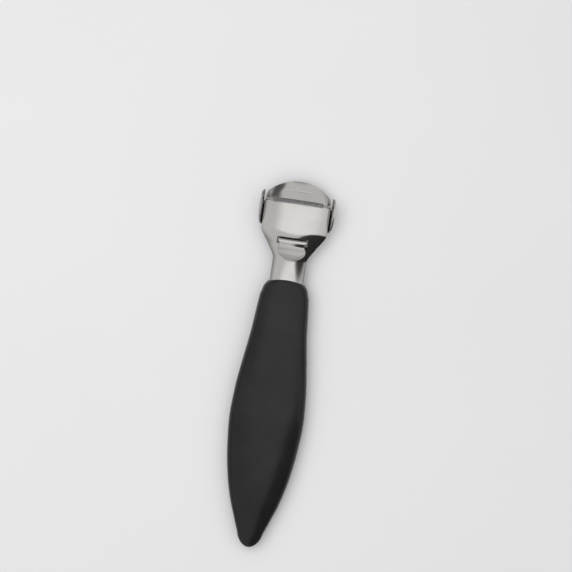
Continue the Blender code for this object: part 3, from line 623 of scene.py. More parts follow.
    def clamp_line(self, count=230):
        """Middle line of the clamp from the tab's rear to the front edge, and its length so far.

        The tongue's knots are (distance ahead of the hinge, height over it). The root's are (distance
        ahead, share left of the way from the plate's level to the hinge's height).
        """
        clamp = self.clamp
        level = self.arch_centre + self.clamp_radius - clamp.sheet / 2
        dip, crest = clamp.dip_rise, clamp.crest_rise
        past_crest = clamp.crest_top - clamp.crest_back
        tongue = [
            (-clamp.dip_back, dip),
            (-(clamp.crest_back + clamp.dip_back) / 2, (dip + crest) / 2),
            (-clamp.crest_back, crest),
            (past_crest, crest * CREST_END_SHARE),
            ((past_crest + clamp.plunge) / 2 + PIECE_GAP / 2, crest * 0.5),
            (clamp.plunge, 0.0),
        ]
        root = [
            (clamp.plunge * PLUNGE_END_SHARE, LEFT_BELOW_PLUNGE),
            (clamp.root_reach * BEND_SHARE, LEFT_IN_BEND),
            (clamp.root_reach, 0.0),
        ]
        knots = [(self.tab_rear, self.hinge_height + clamp.tab_rise)]
        knots += [(self.tab_front, self.hinge_height + dip + PIECE_GAP / 2)]
        knots += [(self.hinge + ahead, self.hinge_height + rise) for ahead, rise in tongue]
        knots += [(self.hinge + ahead, level + (self.hinge_height - level) * left) for ahead, left in root]
        plate = (self.shoulder_back + clamp.root_reach / 2, self.shoulder_front, self.clamp_front)
        knots = np.array(knots + [(place, level) for place in plate])
        run = length_so_far(knots)
        edge = round_steps(clamp.edge)
        at = spaced(0.0, run[-1], count, edge, edge)
        place, height = (curve_through(np.column_stack([run, values]), at) for values in knots.T)
        steps = np.hypot(np.diff(place), np.diff(height))
        return place, height, np.concatenate([[0.0], np.cumsum(steps)])

    def cheek_line(self):
        """Right cheek's middle line as X and Z, its length so far and where its bend ends.

        It runs along the clamp's arch, around the bend, then straight out.
        """
        clamp = self.clamp
        lean = np.array([math.cos(clamp.cheek_lean), math.sin(clamp.cheek_lean)])
        inward = np.array([-lean[1], lean[0]])
        corner = np.array([self.head.plate_half_width, self.head.plate_top - self.head.plate_crown])
        start = corner + (clamp.cheek_bend - clamp.cheek_clearance) * inward
        centre = np.array([0.0, self.arch_centre])
        reach = self.clamp_radius + clamp.cheek_bend
        offset = start - centre
        b, c = float(offset @ lean), float(offset @ offset) - reach**2
        bend = start + (-b + math.sqrt(b * b - c)) * lean
        outward = (bend - centre) / reach
        first, last = math.atan2(-outward[1], -outward[0]), math.atan2(-inward[1], -inward[0])
        turns = np.linspace(first, last, 25)
        middle = clamp.cheek_bend + clamp.sheet / 2
        around = bend + middle * np.column_stack([np.cos(turns), np.sin(turns)])
        arch_middle = self.clamp_radius - clamp.sheet / 2
        from_top = math.atan2(outward[0], outward[1])
        back = np.linspace(from_top - CHEEK_OVERLAP / arch_middle, from_top, 4)[:-1]
        root = centre + arch_middle * np.column_stack([np.sin(back), np.cos(back)])
        outer = bend - (clamp.cheek_bend + clamp.sheet) * inward
        rise = (clamp.cheek_half - outer[0]) / lean[0]
        straight = around[-1] + rise * np.linspace(0, 1, 20)[1:, None] * lean
        line = np.vstack([root, around, straight])
        run = length_so_far(line)
        return line, run, run[len(root) + len(around) - 1]


# Meshes


def grid_quads(rows, columns):
    at = np.arange(rows * columns).reshape(rows, columns)
    return np.stack([at[:-1, :-1], at[:-1, 1:], at[1:, 1:], at[1:, :-1]], axis=-1)


def sheet_surface(upper, lower, wear_and_shade, keep=None, painted_shade=None):
    """Closed surface between two grids: kept cells above and below, and a wall wherever a kept cell ends.

    Every point is marked with its wear (painted shade on the blade's ground face), and the upper grid's
    points with their painted shade.
    """
    rows, columns = upper.shape[:2]
    quads = grid_quads(rows, columns)
    keep = np.ones(quads.shape[:2], bool) if keep is None else keep
    far = rows * columns
    padded = np.pad(keep, 1)
    beside = (padded[:-2, 1:-1], padded[1:-1, 2:], padded[2:, 1:-1], padded[1:-1, :-2])
    faces = [quads[keep], quads[keep][:, ::-1] + far]
    for corner, neighbour in enumerate(beside):
        cells = quads[keep & ~neighbour]
        a, b = cells[:, corner], cells[:, (corner + 1) % 4]
        faces.append(np.stack([b, a, a + far, b + far], axis=-1))
    points = np.concatenate([upper.reshape(-1, 3), lower.reshape(-1, 3)])
    plain = np.zeros(wear_and_shade.size)
    above = plain if painted_shade is None else painted_shade.ravel()
    marks = [np.column_stack([wear_and_shade.ravel(), side]) for side in (above, plain)]
    return points, np.concatenate(faces).tolist(), np.concatenate(marks)


def thick_sheet(middle, normal, distance, half_sheet, edge, keep=None, painted_shade=None):
    """A stamping about its middle surface: rounded and worn towards its edges by the distance to them."""
    offset = normal * sheet_half(distance, half_sheet, edge)[..., None]
    return sheet_surface(middle + offset, middle - offset, fading_from_edge(distance, EDGE_WEAR), keep, painted_shade)


def turned_surface(profile, x, y, sides=40):
    """A profile of (radius, height), from axis to axis, turned around an upright line."""
    profile = np.asarray(profile, float)
    radius, height = profile[:, :1], profile[:, 1:]
    turns = np.linspace(0, 2 * math.pi, sides + 1)
    points = to_points(x + radius * np.cos(turns), y + radius * np.sin(turns), height).reshape(-1, 3)
    faces = grid_quads(len(profile), sides + 1).reshape(-1, 4).tolist()
    return points, faces, np.zeros((len(points), 2))


def add_object(name, data, place=(0.0, 0.0, 0.0), turns=(0.0, 0.0, 0.0)):
    made = bpy.data.objects.new(name, data)
    made.location, made.rotation_euler = place, turns
    bpy.context.scene.collection.objects.link(made)
    return made


def make_piece(name, surfaces, material):
    """One object from closed surfaces: doubles merged, unused points dropped, faces turned out."""
    points, faces, marks, start = [], [], [], 0
    for part_points, part_faces, part_marks in surfaces:
        points.append(part_points)
        faces += [[int(v) + start for v in face] for face in part_faces]
        marks.append(part_marks)
        start += len(part_points)
    mesh = bpy.data.meshes.new(name)
    mesh.from_pydata(np.concatenate(points).tolist(), [], faces)
    for kind, values in zip((WEAR_AND_SHADE_ATTRIBUTE, PAINTED_SHADE_ATTRIBUTE), np.concatenate(marks).T):
        attribute = mesh.attributes.new(kind, "FLOAT", "POINT")
        attribute.data.foreach_set("value", np.ascontiguousarray(values, np.float32))
    shape = bmesh.new()
    shape.from_mesh(mesh)
    bmesh.ops.delete(shape, geom=[v for v in shape.verts if not v.link_faces], context="VERTS")
    bmesh.ops.remove_doubles(shape, verts=shape.verts, dist=MERGE_DISTANCE)
    bmesh.ops.recalc_face_normals(shape, faces=shape.faces)
    shape.to_mesh(mesh)
    shape.free()
    mesh.shade_smooth()
    mesh.set_sharp_from_angle(angle=SHARP_ANGLE)
    mesh.materials.append(material)
    return add_object(name, mesh)


def drill(piece, places, radius, low, high):
    """Round upright holes through a piece, left in its mesh."""
    profile = [(0, low), (radius, low), (radius, high), (0, high)]
    holes = [turned_surface(profile, x, y) for x, y in places]
    cutter = make_piece(f"{piece.name}_drill", holes, piece.data.materials[0])
    step = piece.modifiers.new("holes", "BOOLEAN")
    step.operation, step.solver, step.object = "DIFFERENCE", "EXACT", cutter
    bpy.context.view_layer.update()
    drilled = bpy.data.meshes.new_from_object(piece.evaluated_get(bpy.context.evaluated_depsgraph_get()))
    piece.modifiers.clear()
    piece.data = drilled
    bpy.data.objects.remove(cutter, do_unlink=True)
    drilled.set_sharp_from_angle(angle=SHARP_ANGLE)


# Handle shells


def closing_curve(plan, face_side, fraction):
    """The end's cross-section: an arch over the neck in front, a saddle under it at the back."""
    head, rim = plan.head, plan.shell_side(face_side)[0]
    centre = plan.neck_top - plan.neck_radius
    if face_side:
        radius = plan.neck_radius + PIECE_GAP
        half = outer = head.neck_half_width + PIECE_GAP
    else:
        radius = plan.neck_radius - head.sheet - PIECE_GAP
        half = head.neck_half_width * (plan.neck_radius - head.sheet) / plan.neck_radius - 2 * PIECE_GAP
        outer = float(plan.handle_half_width(plan.handle.length))
    side = np.clip(np.abs(2 * fraction - 1), 0, 1)
    corners = (1 - RIM_SHARE, 1 - RIM_SHARE / 2, 1.0)
    limit = math.asin(half / radius)
    turns = limit * np.clip(side / corners[0], 0, 1)
    foot = centre + radius * math.cos(limit)
    arch = side < corners[0]
    x = np.where(arch, radius * np.sin(turns), np.interp(side, corners, (half, half, outer)))
    z = np.where(arch, centre + radius * np.cos(turns), np.interp(side, corners, (foot, rim, rim)))
    return x * np.sign(2 * fraction - 1), z


def pressed_flat(height, lowest, rim, inset):
    """Heights of the back, pressed flat where they would pass below the level that it lies on.

    Half the sum of a height and the root of its square plus the softness's, moved to run from inset to rim.
    """
    level = (height + np.sqrt(height**2 + BACK_SOFTNESS**2)) / 2
    base = (lowest + math.sqrt(lowest**2 + BACK_SOFTNESS**2)) / 2
    return inset + (level - base) * rim / ((rim + math.sqrt(rim**2 + BACK_SOFTNESS**2)) / 2 - base)


def shell_surface(plan, face_side):
    """A shell as one strip of rows from rim to rim: skin, end face, passage, inner wall and hollow.

    The skin's cross-section is a superellipse; the rims of all the rows close it as two level faces.
    """
    handle = plan.handle
    rim = plan.shell_side(face_side)[0]
    power = 2 / SKIN_FULLNESS[face_side]
    near = np.array(NEAR_RIM_SHARES) * math.pi
    turns = math.pi - spaced(0.0, math.pi, count=78, before=near, after=near)
    sideways = np.sign(np.cos(turns)) * np.abs(np.cos(turns)) ** power
    upwards = np.abs(np.sin(turns)) ** power
    upwards[0] = upwards[-1] = 0.0

    def section(place, inset, lip):
        half = np.maximum(plan.handle_half_width(place) - inset, 0.0)
        reach = plan.handle_reach(place, face_side)
        reach = reach - inset * np.sign(reach)
        height = rim + reach[:, None] * upwards
        if not face_side:
            lowest = (rim + reach.min()) if reach.min() < -rim else 0.0
            height = pressed_flat(height, lowest, rim, inset)
            height = np.where(upwards[None, :] == 0, rim, np.minimum(height, rim))
        x = half[:, None] * sideways
        y = plan.along(place[:, None] - plan.end_bow(place)[:, None] * x**2)
        if lip:
            inward = lip - leg(lip, lip - np.clip(np.abs(height - rim), 0.0, lip))
            slope = np.gradient(half, place)
            length = np.sqrt(1 + slope**2)
            x = np.sign(x) * np.maximum(np.abs(x) - inward / length[:, None], 0.0)
            y = y + inward * (slope / length)[:, None]
        return to_points(x, y, height)

    quarter = np.linspace(0, math.pi / 2, 26)[1:]
    nose = round_steps(handle.nose, count=22)
    body = np.linspace(handle.nose, handle.length * BODY_SHARE, 112)[1:]
    end = handle.length * (BODY_SHARE + END_SHARE * np.sin(quarter))
    places = np.concatenate([nose, body, end])
    skin = section(places, 0.0, handle.lip)
    skin[0] = (0.0, plan.along(0.0), rim)
    x, z = closing_curve(plan, face_side, 1 - turns / math.pi)
    last = to_points(x, plan.along(handle.length - plan.end_bow(handle.length) * x**2), z)
    cap = rows_between(skin[-1], last, END_FACE_SHARES)
    inner_end = to_points(x, plan.along(plan.cavity_end), z)
    passage = rows_between(last, inner_end, np.linspace(0, 1, 9)[1:])
    hollow = section(np.linspace(plan.cavity_end, handle.cavity_start, 60), handle.wall, 0.0)
    wall = rows_between(inner_end, hollow[0], np.linspace(0, 1, 4)[1:-1])
    inner_tip = to_points(0.0, hollow[-1:, :, 1], rim)
    rows = np.concatenate([skin, cap, passage, wall, hollow, inner_tip])
    count, columns = rows.shape[:2]
    faces = grid_quads(count, columns).reshape(-1, 4).tolist()
    at = np.arange(count * columns).reshape(count, columns)
    faces += [at[:, 0].tolist(), at[::-1, -1].tolist()]
    wear_and_shade = np.zeros((count, columns))
    wear_and_shade[: len(skin)] = fading_from_edge(np.abs(skin[..., 2] - rim), SEAM_WEAR)
    wear_and_shade[: len(skin)] += fading_from_edge(handle.length - places, END_WEAR)[:, None]
    wear_and_shade = np.clip(wear_and_shade, 0, 1).ravel()
    return rows.reshape(-1, 3), faces, np.column_stack([wear_and_shade, np.zeros_like(wear_and_shade)])


def shell_fittings(plan, face_side):
    """Ribs as slabs from the skin to the rim, and sockets or pegs as turned profiles."""
    handle = plan.handle
    rim = plan.shell_side(face_side)[0]
    made = []
    turns = np.linspace(math.pi, 0, 33)
    for rib in RIB_SHARES:
        place = handle.length * rib + np.array([-RIB_HALF_SHEET, RIB_HALF_SHEET])
        half = plan.handle_half_width(place) - handle.wall / 2
        reach = np.full(2, float(plan.handle_reach(handle.length * rib, face_side)))
        reach = (reach - np.sign(reach) * handle.wall / 2)[:, None]
        height = rim + reach * np.abs(np.sin(turns))
        if not face_side:
            height = np.maximum(height, handle.wall / 2)
        x, y = half[:, None] * np.cos(turns), plan.along(place)[:, None]
        made.append(sheet_surface(to_points(x, y, height), to_points(x, y, rim), np.zeros_like(x)))
    for place in plan.tail_pegs + plan.tang_pegs:
        in_tang = place in plan.tang_pegs
        seat = plan.tang_top + PIECE_GAP if in_tang else plan.face_shells_rim
        top = seat + (TANG_PEG_RISE if in_tang else TAIL_PEG_RISE)
        if face_side:
            roof = rim + float(plan.handle_reach(place, face_side)) - handle.wall / 2
            hole, ceiling = PEG_RADIUS + PEG_CLEARANCE, top + PIECE_GAP
            profile = [(0, roof), (BOSS_RADIUS, roof), (BOSS_RADIUS, seat)]
            profile += [(hole, seat), (hole, ceiling), (0, ceiling)]
        else:
            base = handle.wall / 2
            profile = [(0, base), (BOSS_RADIUS, base), (BOSS_RADIUS, rim), (PEG_RADIUS, rim)]
            profile += [(PEG_RADIUS, top - PEG_CHAMFER), (PEG_RADIUS - PEG_CHAMFER, top), (0, top)]
        made.append(turned_surface(profile, 0.0, plan.along(place)))
    return made


# Stampings


def frame_columns(plan, place, edge, near):
    """Columns of the frame's grid: evenly to the rear slot's end, to the mouth's end and to the side."""
    head = plan.head
    half = plan.frame_half_width(place)
    slim = half * head.slot_half / head.plate_half_width
    opening = eased(place, *(plan.slot_back - back for back in COLUMNS_OPEN))
    first = slim + (head.slot_half - slim) * opening
    between, full = head.mouth_half - head.slot_half, head.plate_half_width - head.slot_half
    second = first + (half - first) * between / full
    right = [
        spaced(np.zeros_like(half), first, count=14, after=near),
        spaced(first, second, count=6, before=near, after=near)[..., 1:],
        spaced(second, half, count=7, before=near, after=edge)[..., 1:],
    ]
    return mirrored_columns(np.concatenate(right, axis=-1))


def guard_grid(plan, first_x, edge):
    """The guard's grid: rows from the mouth's front line to the outline, an arc with round corners."""
    head = plan.head
    side_turn = 0.5 * math.atan2(plan.corner_place - plan.guard_centre, plan.corner_x)
    widest = plan.corner_x + head.guard_corner * math.cos(side_turn)
    outline_x = first_x * widest / head.plate_half_width
    tangent = plan.corner_x * plan.guard_radius / (plan.guard_radius - head.guard_corner)
    arc = plan.guard_centre + leg(plan.guard_radius, outline_x)
    aside = np.maximum(np.abs(outline_x) - plan.corner_x, 0)
    corner = plan.corner_place + leg(head.guard_corner, aside)
    outline_place = np.where(np.abs(outline_x) > tangent, corner, arc)
    start = np.full_like(outline_place, plan.mouth_front)
    place = spaced(start, outline_place, count=44, after=edge)[:, 1:].T
    part = (place - plan.mouth_front) / (outline_place - plan.mouth_front)
    x = first_x + (outline_x - first_x) * part
    beyond = np.maximum(place[:, -1] - plan.corner_place, 0.0)
    side = plan.corner_x + leg(head.guard_corner, beyond)
    share_out = np.abs(first_x / head.plate_half_width) ** SIDE_PULL_POWER
    return x + np.sign(first_x) * share_out * (side - np.abs(x[:, -1]))[:, None], place


def frame_surface(plan):
    """The frame: its upper face on a grid that follows outline and slots, made into a sheet.

    The slots' cut rims and the steepest part of the pressed step across the mouth get painted shade.
    """
    head = plan.head
    edge = round_steps(head.edge)
    near = np.unique(np.concatenate([edge, [head.slot_corner * s for s in CORNER_STEPS]]))
    wide = np.concatenate([edge, [WIDE_STEP]])
    rows = [
        spaced(plan.tang_start, plan.tang_end, count=26, before=wide),
        spaced(plan.tang_end, plan.neck_end, count=44)[1:],
        spaced(plan.neck_end, plan.slot_back, count=22, after=wide)[1:],
        spaced(plan.slot_back, plan.slot_front, count=7, before=near, after=near)[1:],
        spaced(plan.slot_front, plan.mouth_rear, count=38, before=wide, after=wide)[1:],
        spaced(plan.mouth_rear, plan.mouth_front, count=7)[1:],
    ]
    rows = np.concatenate(rows)
    x = frame_columns(plan, rows, edge, near)
    place = np.repeat(rows[:, None], x.shape[1], axis=1)
    guard_x, guard = guard_grid(plan, x[-1], edge)
    x, place = np.concatenate([x, guard_x]), np.concatenate([place, guard])

    # Rows beside a slot follow its round corners
    cells = np.ones((x.shape[0] - 1, x.shape[1] - 1), bool)
    straight = place.copy()
    mid_x, mid_place = ((grid[:-1, :-1] + grid[1:, 1:]) / 2 for grid in (x, straight))
    corner = head.slot_corner
    for half, rear, front in plan.slots:
        pull = corner - leg(corner, np.clip(np.abs(x) - (half - corner), 0.0, corner))
        pull = pull * (1 - eased(np.abs(x), half, half + PULL_REACH))
        beside = (rear - MM, rear, front, front + MM)
        place = place + pull * np.interp(straight, beside, (0.0, 1.0, -1.0, 0.0))
        cells &= ~((np.abs(mid_x) < half) & (mid_place > rear) & (mid_place < front))

    z = plan.frame_height(x, place)
    ahead = plan.frame_height(x, place + SLOPE_STEP) - plan.frame_height(x, place - SLOPE_STEP)
    inner = x * (1 - INWARD_SHARE)
    aside = (z - plan.frame_height(inner, place)) / np.where(np.abs(x) > ON_AXIS, x - inner, 1.0)
    normal = unit(to_points(-aside, -ahead / (2 * SLOPE_STEP), 1.0))
    middle = to_points(x, plan.along(place), z) - normal * head.sheet / 2
    # Painted shade: colour darkened at the slots' cut rims and across the steepest part of the mouth's step
    step = eased(place, plan.mouth_rear, plan.mouth_front)
    cut_rim_shade = CUT_RIM_SHADE * fading_from_edge(plan.slots_distance(x, place), CUT_RIM_WIDTH)
    painted_shade = np.maximum(cut_rim_shade, STEP_SHADE * step * (1 - step))
    distance = plan.frame_distance(x, place)
    return thick_sheet(middle, normal, distance, head.sheet / 2, head.edge, cells, painted_shade)


def clamp_surface(plan):
    """The clamp's plate, tongue and tab: arcs of the clamp's arch carried along its middle line.

    The tab is dished inside a rim that rolls over, and gets painted shade inside that rim, so that the rim
    reads bright.
    """
    clamp = plan.clamp
    place, height, run = plan.clamp_line()
    half = plan.clamp_half_arc(place)
    edge = np.minimum(round_steps(clamp.edge), half.min() / 3)
    arc = mirrored_columns(spaced(np.zeros_like(half), half, count=24, after=edge))
    radius = plan.clamp_radius - clamp.sheet / 2
    turns = arc / radius
    tangent = unit(np.column_stack([np.gradient(place, run), np.gradient(height, run)]))
    ty, tz = tangent[:, :1], tangent[:, 1:]
    normal = unit(to_points(np.sin(turns) * ty, -np.cos(turns) * tz, np.cos(turns) * ty))
    z = height[:, None] - radius * (1 - np.cos(turns))
    middle = to_points(radius * np.sin(turns), plan.along(place)[:, None], z)
    side = (half[:, None] - np.abs(arc)) / np.sqrt(1 + np.gradient(half, run)[:, None] ** 2)
    ends = np.minimum(run, run[-1] - run)[:, None]
    distance = np.maximum(np.minimum(side, ends), 0.0)
    from_front = (plan.tab_front - place)[:, None]
    in_tab = eased(from_front, 0.0, clamp.tab_rim)
    inside = np.minimum(distance, from_front / 3)
    dish = clamp.tab_dish * eased(inside, clamp.edge, clamp.edge + clamp.tab_rim)
    roll = clamp.tab_roll * (1 - part_way(distance, 0.0, clamp.tab_rim / 2)) ** 2
    middle = middle - normal * ((dish + roll) * in_tab)[..., None]
    # Painted shade over the tab's body, leaving its rim unshaded and bright
    painted_shade = TAB_SHADE * in_tab * (1 - fading_from_edge(distance, TAB_UNSHADED_RIM))
    return thick_sheet(middle, normal, distance, clamp.sheet / 2, clamp.edge, painted_shade=painted_shade)


def cheek_surface(plan, side):
    """A cheek: a rounded lobe of sheet that leaves the arch, turns under the frame's edge and leans out.

    Past the mouth its lower edge lies higher, clear of the frame's step. Its inner face gets painted shade,
    darkest in the bend and lighter towards its outer edge.
    """
    clamp = plan.clamp
    line, run, bend_end = plan.cheek_line()
    even = (1 - np.cos(np.linspace(0, math.pi, 110))) / 2
    step = np.linspace(*plan.cheek_free, 26)
    part = np.unique(np.concatenate([even, (step - plan.cheek_rear) / clamp.cheek_length]))
    place = plan.cheek_rear + clamp.cheek_length * part
    bulge = np.maximum(1 - np.abs(2 * part - 1) ** CHEEK_FULLNESS, 0.0) ** (1 / CHEEK_FULLNESS)
    raised = clamp.cheek_lift * eased(place, *(plan.mouth_rear + ahead for ahead in CHEEK_LIFT_AHEAD))
    high = bend_end + raised + (run[-1] - bend_end - raised) * bulge
    rear_round = leg(1, 1 - part_way(place, plan.cheek_rear, plan.cheek_rear + CHEEK_REAR_ROUND))
    low = bend_end * (1 - rear_round * (1 - eased(place, *plan.cheek_free))) + raised
    width = (high - low)[:, None]
    near = round_steps(clamp.edge) / max(float(width.max()), MM)
    share_across = np.unique(np.concatenate([spaced(0.0, 1.0, count=26), near, 1 - near]))
    at = low[:, None] + width * share_across
    x, z = (np.interp(at, run, values) for values in line.T)
    slope = np.gradient(line, run, axis=0)
    turned = np.interp(at, run, np.unwrap(np.arctan2(slope[:, 1], slope[:, 0])))
    normal = to_points(-side * np.sin(turned), 0.0, np.cos(turned))
    middle = to_points(side * x, plan.along(place)[:, None], z)
    top_edge = (high[:, None] - at) / np.sqrt(1 + np.gradient(high, place)[:, None] ** 2)
    low_edge = (at - low[:, None]) / np.sqrt(1 + np.gradient(low, place)[:, None] ** 2)
    distance = np.maximum(np.minimum(top_edge, low_edge), 0.0)
    # Painted shade on the inner face: full in the bend, fading towards the outer edge
    painted_shade = 1 - CHEEK_SHADE_FADE * eased(at, bend_end, run[-1])
    return thick_sheet(middle, normal, distance, clamp.sheet / 2 - CHEEK_THINNER, clamp.edge, painted_shade=painted_shade)


def pip_surface(plan, side):
    """A pressed pip: a low dome over the clamp's arch."""
    clamp = plan.clamp
    x = side * clamp.pip_offset
    top = plan.arch_centre + leg(plan.clamp_radius, x)
    turns = np.linspace(0, math.pi / 2, 9)
    rise = clamp.pip_rise * np.cos(turns) ** PIP_POWER
    dome = np.column_stack([clamp.pip_radius * np.sin(turns), top + rise])
    foot = top - clamp.sheet / 2
    profile = np.vstack([dome, [(clamp.pip_radius, foot), (0.0, foot)]])
    return turned_surface(profile, x, plan.along(plan.pip))


def blade_surface(plan):
    """The blade: an arc carried along Y, its upper face ground down to the edge at the front."""
    blade = plan.blade
    half = plan.head.mouth_half - plan.head.slot_corner - PIECE_GAP
    edge = round_steps(BLADE_ROUND, count=4)
    bevel_start = plan.blade_edge - blade.bevel
    back = spaced(plan.blade_back, bevel_start, count=30, before=edge)
    place = np.concatenate([back, spaced(bevel_start, plan.blade_edge, count=14)[1:]])
    limit, edge_turns = math.asin(half / plan.blade_radius), edge / plan.blade_radius
    turns = spaced(-limit, limit, count=90, before=edge_turns, after=edge_turns)
    ground = part_way(place, bevel_start, plan.blade_edge)
    thickness = blade.sheet + (blade.edge_sheet - blade.sheet) * ground
    low = plan.blade_radius - blade.sheet
    from_side = (limit - np.abs(turns)) * plan.blade_radius
    distance = np.minimum((place - plan.blade_back)[:, None], from_side[None, :])
    shrink = (BLADE_ROUND - np.clip(distance, 0, BLADE_ROUND)) / BLADE_ROUND
    inset = BLADE_ROUND * (1 - leg(1, shrink)) * (thickness / blade.sheet)[:, None]

    def arch(reach):
        z = plan.arch_centre + reach * np.cos(turns)
        return to_points(reach * np.sin(turns), plan.along(place)[:, None], z)

    # Painted shade: the ground face is marked to darken, most towards the edge
    wear_and_shade = np.repeat(ground[:, None] ** 2, len(turns), axis=1)
    return sheet_surface(arch(low + thickness[:, None] - inset), arch(low + inset), wear_and_shade)


# Finishes


class Nodes:
    """A node tree and short ways to add to it."""

    def __init__(self, tree):
        self.tree = tree

    def node(self, kind, inputs=None, **settings):
        """A node with its settings, each input linked to a socket or set to a value."""
        made = self.tree.nodes.new(kind)
        for key, value in settings.items():
            setattr(made, key, value)
        for key, value in (inputs or {}).items():
            if isinstance(value, bpy.types.NodeSocket):
                self.tree.links.new(value, made.inputs[key])
            else:
                made.inputs[key].default_value = value
        return made

    def ranged(self, value, low, high, start=0.3, stop=0.7, **settings):
        """A value carried over from between start and stop to between low and high."""
        inputs = {"Value": value, "From Min": start, "From Max": stop, "To Min": low, "To Max": high}
        return self.node("ShaderNodeMapRange", inputs, **settings).outputs["Result"]

    def faded(self, value, start, stop, low, high):
        """ranged with level ends."""
        return self.ranged(value, low, high, start, stop, interpolation_type="SMOOTHSTEP")

    def maths(self, operation, a, b):
        return self.node("ShaderNodeMath", {0: a, 1: b}, operation=operation).outputs["Value"]

    def vectors(self, operation, output, *values):
        inputs = dict(enumerate(values))
        return self.node("ShaderNodeVectorMath", inputs, operation=operation).outputs[output]


class Finish(Nodes):
    """A Principled material and the nodes that feed it."""

    def __init__(self, name, metallic, roughness):
        self.material = bpy.data.materials.new(name)
        self.material.use_nodes = True
        super().__init__(self.material.node_tree)
        self.shader = self.tree.nodes["Principled BSDF"]
        self.shader.inputs["Metallic"].default_value = metallic
        self.shader.inputs["Roughness"].default_value = roughness
        self.place = self.node("ShaderNodeTexCoord").outputs["Object"]

    def link(self, output, name):
        self.tree.links.new(output, self.shader.inputs[name])

    def noise(self, scale, detail=3.0, rough=0.5, vector=None):
        inputs = {"Vector": vector or self.place, "Scale": scale, "Detail": detail, "Roughness": rough}
        return self.node("ShaderNodeTexNoise", inputs).outputs["Fac"]

    def lined(self, scales, detail, rough):
        """Noise on unevenly scaled object coordinates, so that it runs in lines."""
        vector = self.node("ShaderNodeMapping", {"Vector": self.place, "Scale": scales}).outputs["Vector"]
        return self.noise(1.0, detail, rough, vector)

    def mixed(self, factor, a, b):
        return self.node("ShaderNodeMix", {0: factor, 6: a, 7: b}, data_type="RGBA").outputs[2]

    def clouded(self, noise, rgb, low, high):
        """A colour that drifts between two of its shades."""
        return self.mixed(self.ranged(noise, 0.0, 1.0), shade(rgb, low), shade(rgb, high))

    def marked(self, name):
        """One of the shares that the surfaces mark their points with."""
        return self.node("ShaderNodeAttribute", attribute_name=name).outputs["Fac"]

    def bump(self, height, distance, strength, normal=None):
        inputs = {"Height": height, "Distance": distance, "Strength": strength}
        if normal is not None:
            inputs["Normal"] = normal
        return self.node("ShaderNodeBump", inputs).outputs["Normal"]


def shade(rgb, factor):
    """A colour made lighter or darker, with its alpha."""
    return (*(min(1.0, c * factor) for c in rgb), 1.0)


def plastic_finish(scene):
    """Black moulded plastic: a fine mould grain, slow sink marks, and handled edges a little lighter."""
    finish = scene.cutter_finish
    black, gloss = finish.plastic, finish.plastic_gloss
    made = Finish("black_moulded_plastic", metallic=0.0, roughness=gloss)
    made.shader.inputs["Specular IOR Level"].default_value = finish.plastic_shine
    grain = made.noise(scale=5200.0, detail=4.0, rough=0.6)
    tint = made.clouded(made.noise(scale=70.0), black, low=0.85, high=1.35)
    made.link(made.mixed(made.marked(WEAR_AND_SHADE_ATTRIBUTE), tint, shade(black, 2.2)), "Base Color")
    patchy = made.ranged(made.noise(scale=160.0, detail=4.0), gloss - 0.04, gloss + 0.05)
    made.link(made.maths("ADD", patchy, made.ranged(grain, -0.015, 0.02)), "Roughness")
    sink = made.bump(made.noise(scale=45.0, detail=1.0), distance=0.03 * MM, strength=0.35)
    made.link(made.bump(grain, distance=0.004 * MM, strength=0.5, normal=sink), "Normal")
    return made.material


def steel_finish(scene, name, gloss):
    """Polished sheet: buffing lines along the tool, faint clouds, hairline rubs, and painted shade on
    marked faces.
    """
    steel = scene.cutter_finish.steel
    made = Finish(name, metallic=1.0, roughness=gloss)
    buffed = made.lined((7000.0, 420.0, 7000.0), detail=5.0, rough=0.6)
    tint = made.clouded(made.noise(scale=110.0, detail=4.0, rough=0.55), steel, low=0.95, high=1.05)
    tint = made.mixed(made.ranged(buffed, 0.0, 0.35), tint, shade(steel, 0.9))
    tint = made.mixed(made.marked(WEAR_AND_SHADE_ATTRIBUTE), tint, shade(steel, 1.05))
    # Painted shade: the marked share darkens the steel's colour towards a fifth of it, and roughens it a
    # little
    painted_shade = made.marked(PAINTED_SHADE_ATTRIBUTE)
    made.link(made.mixed(painted_shade, tint, shade(steel, 0.2)), "Base Color")
    lines = made.ranged(buffed, gloss - 0.02, gloss + 0.05)
    rubs = made.lined((900.0, 5200.0, 900.0), detail=2.0, rough=0.5)
    rough = made.maths("ADD", lines, made.ranged(rubs, 0.0, 0.06, start=0.62, stop=0.74))
    duller = made.ranged(painted_shade, 0.0, 0.14, start=0.0, stop=1.0)
    made.link(made.maths("ADD", rough, duller), "Roughness")
    slow = made.bump(made.noise(scale=130.0, detail=1.0), distance=0.012 * MM, strength=0.4)
    made.link(made.bump(buffed, distance=0.0008 * MM, strength=0.5, normal=slow), "Normal")
    return made.material


def blade_finish(scene):
    """Satin blade steel: grinding lines from the back to the edge, and painted shade on the ground face."""
    steel, gloss = scene.cutter_finish.blade, scene.cutter_finish.blade_gloss
    made = Finish("satin_blade_steel", metallic=1.0, roughness=gloss)
    lines = made.lined((9000.0, 500.0, 2000.0), detail=4.0, rough=0.6)
    tint = made.clouded(made.noise(scale=240.0), steel, low=0.88, high=1.06)
    tint = made.mixed(made.ranged(lines, 0.0, 0.55, start=0.35, stop=0.65), tint, shade(steel, 0.6))
    # Painted shade: the marked ground face darkens to about a fifth of the blade's colour
    made.link(made.mixed(made.marked(WEAR_AND_SHADE_ATTRIBUTE), tint, shade(steel, 0.22)), "Base Color")
    made.link(made.ranged(lines, gloss - 0.05, gloss + 0.1), "Roughness")
    made.link(made.bump(lines, distance=0.004 * MM, strength=0.6), "Normal")
    return made.material


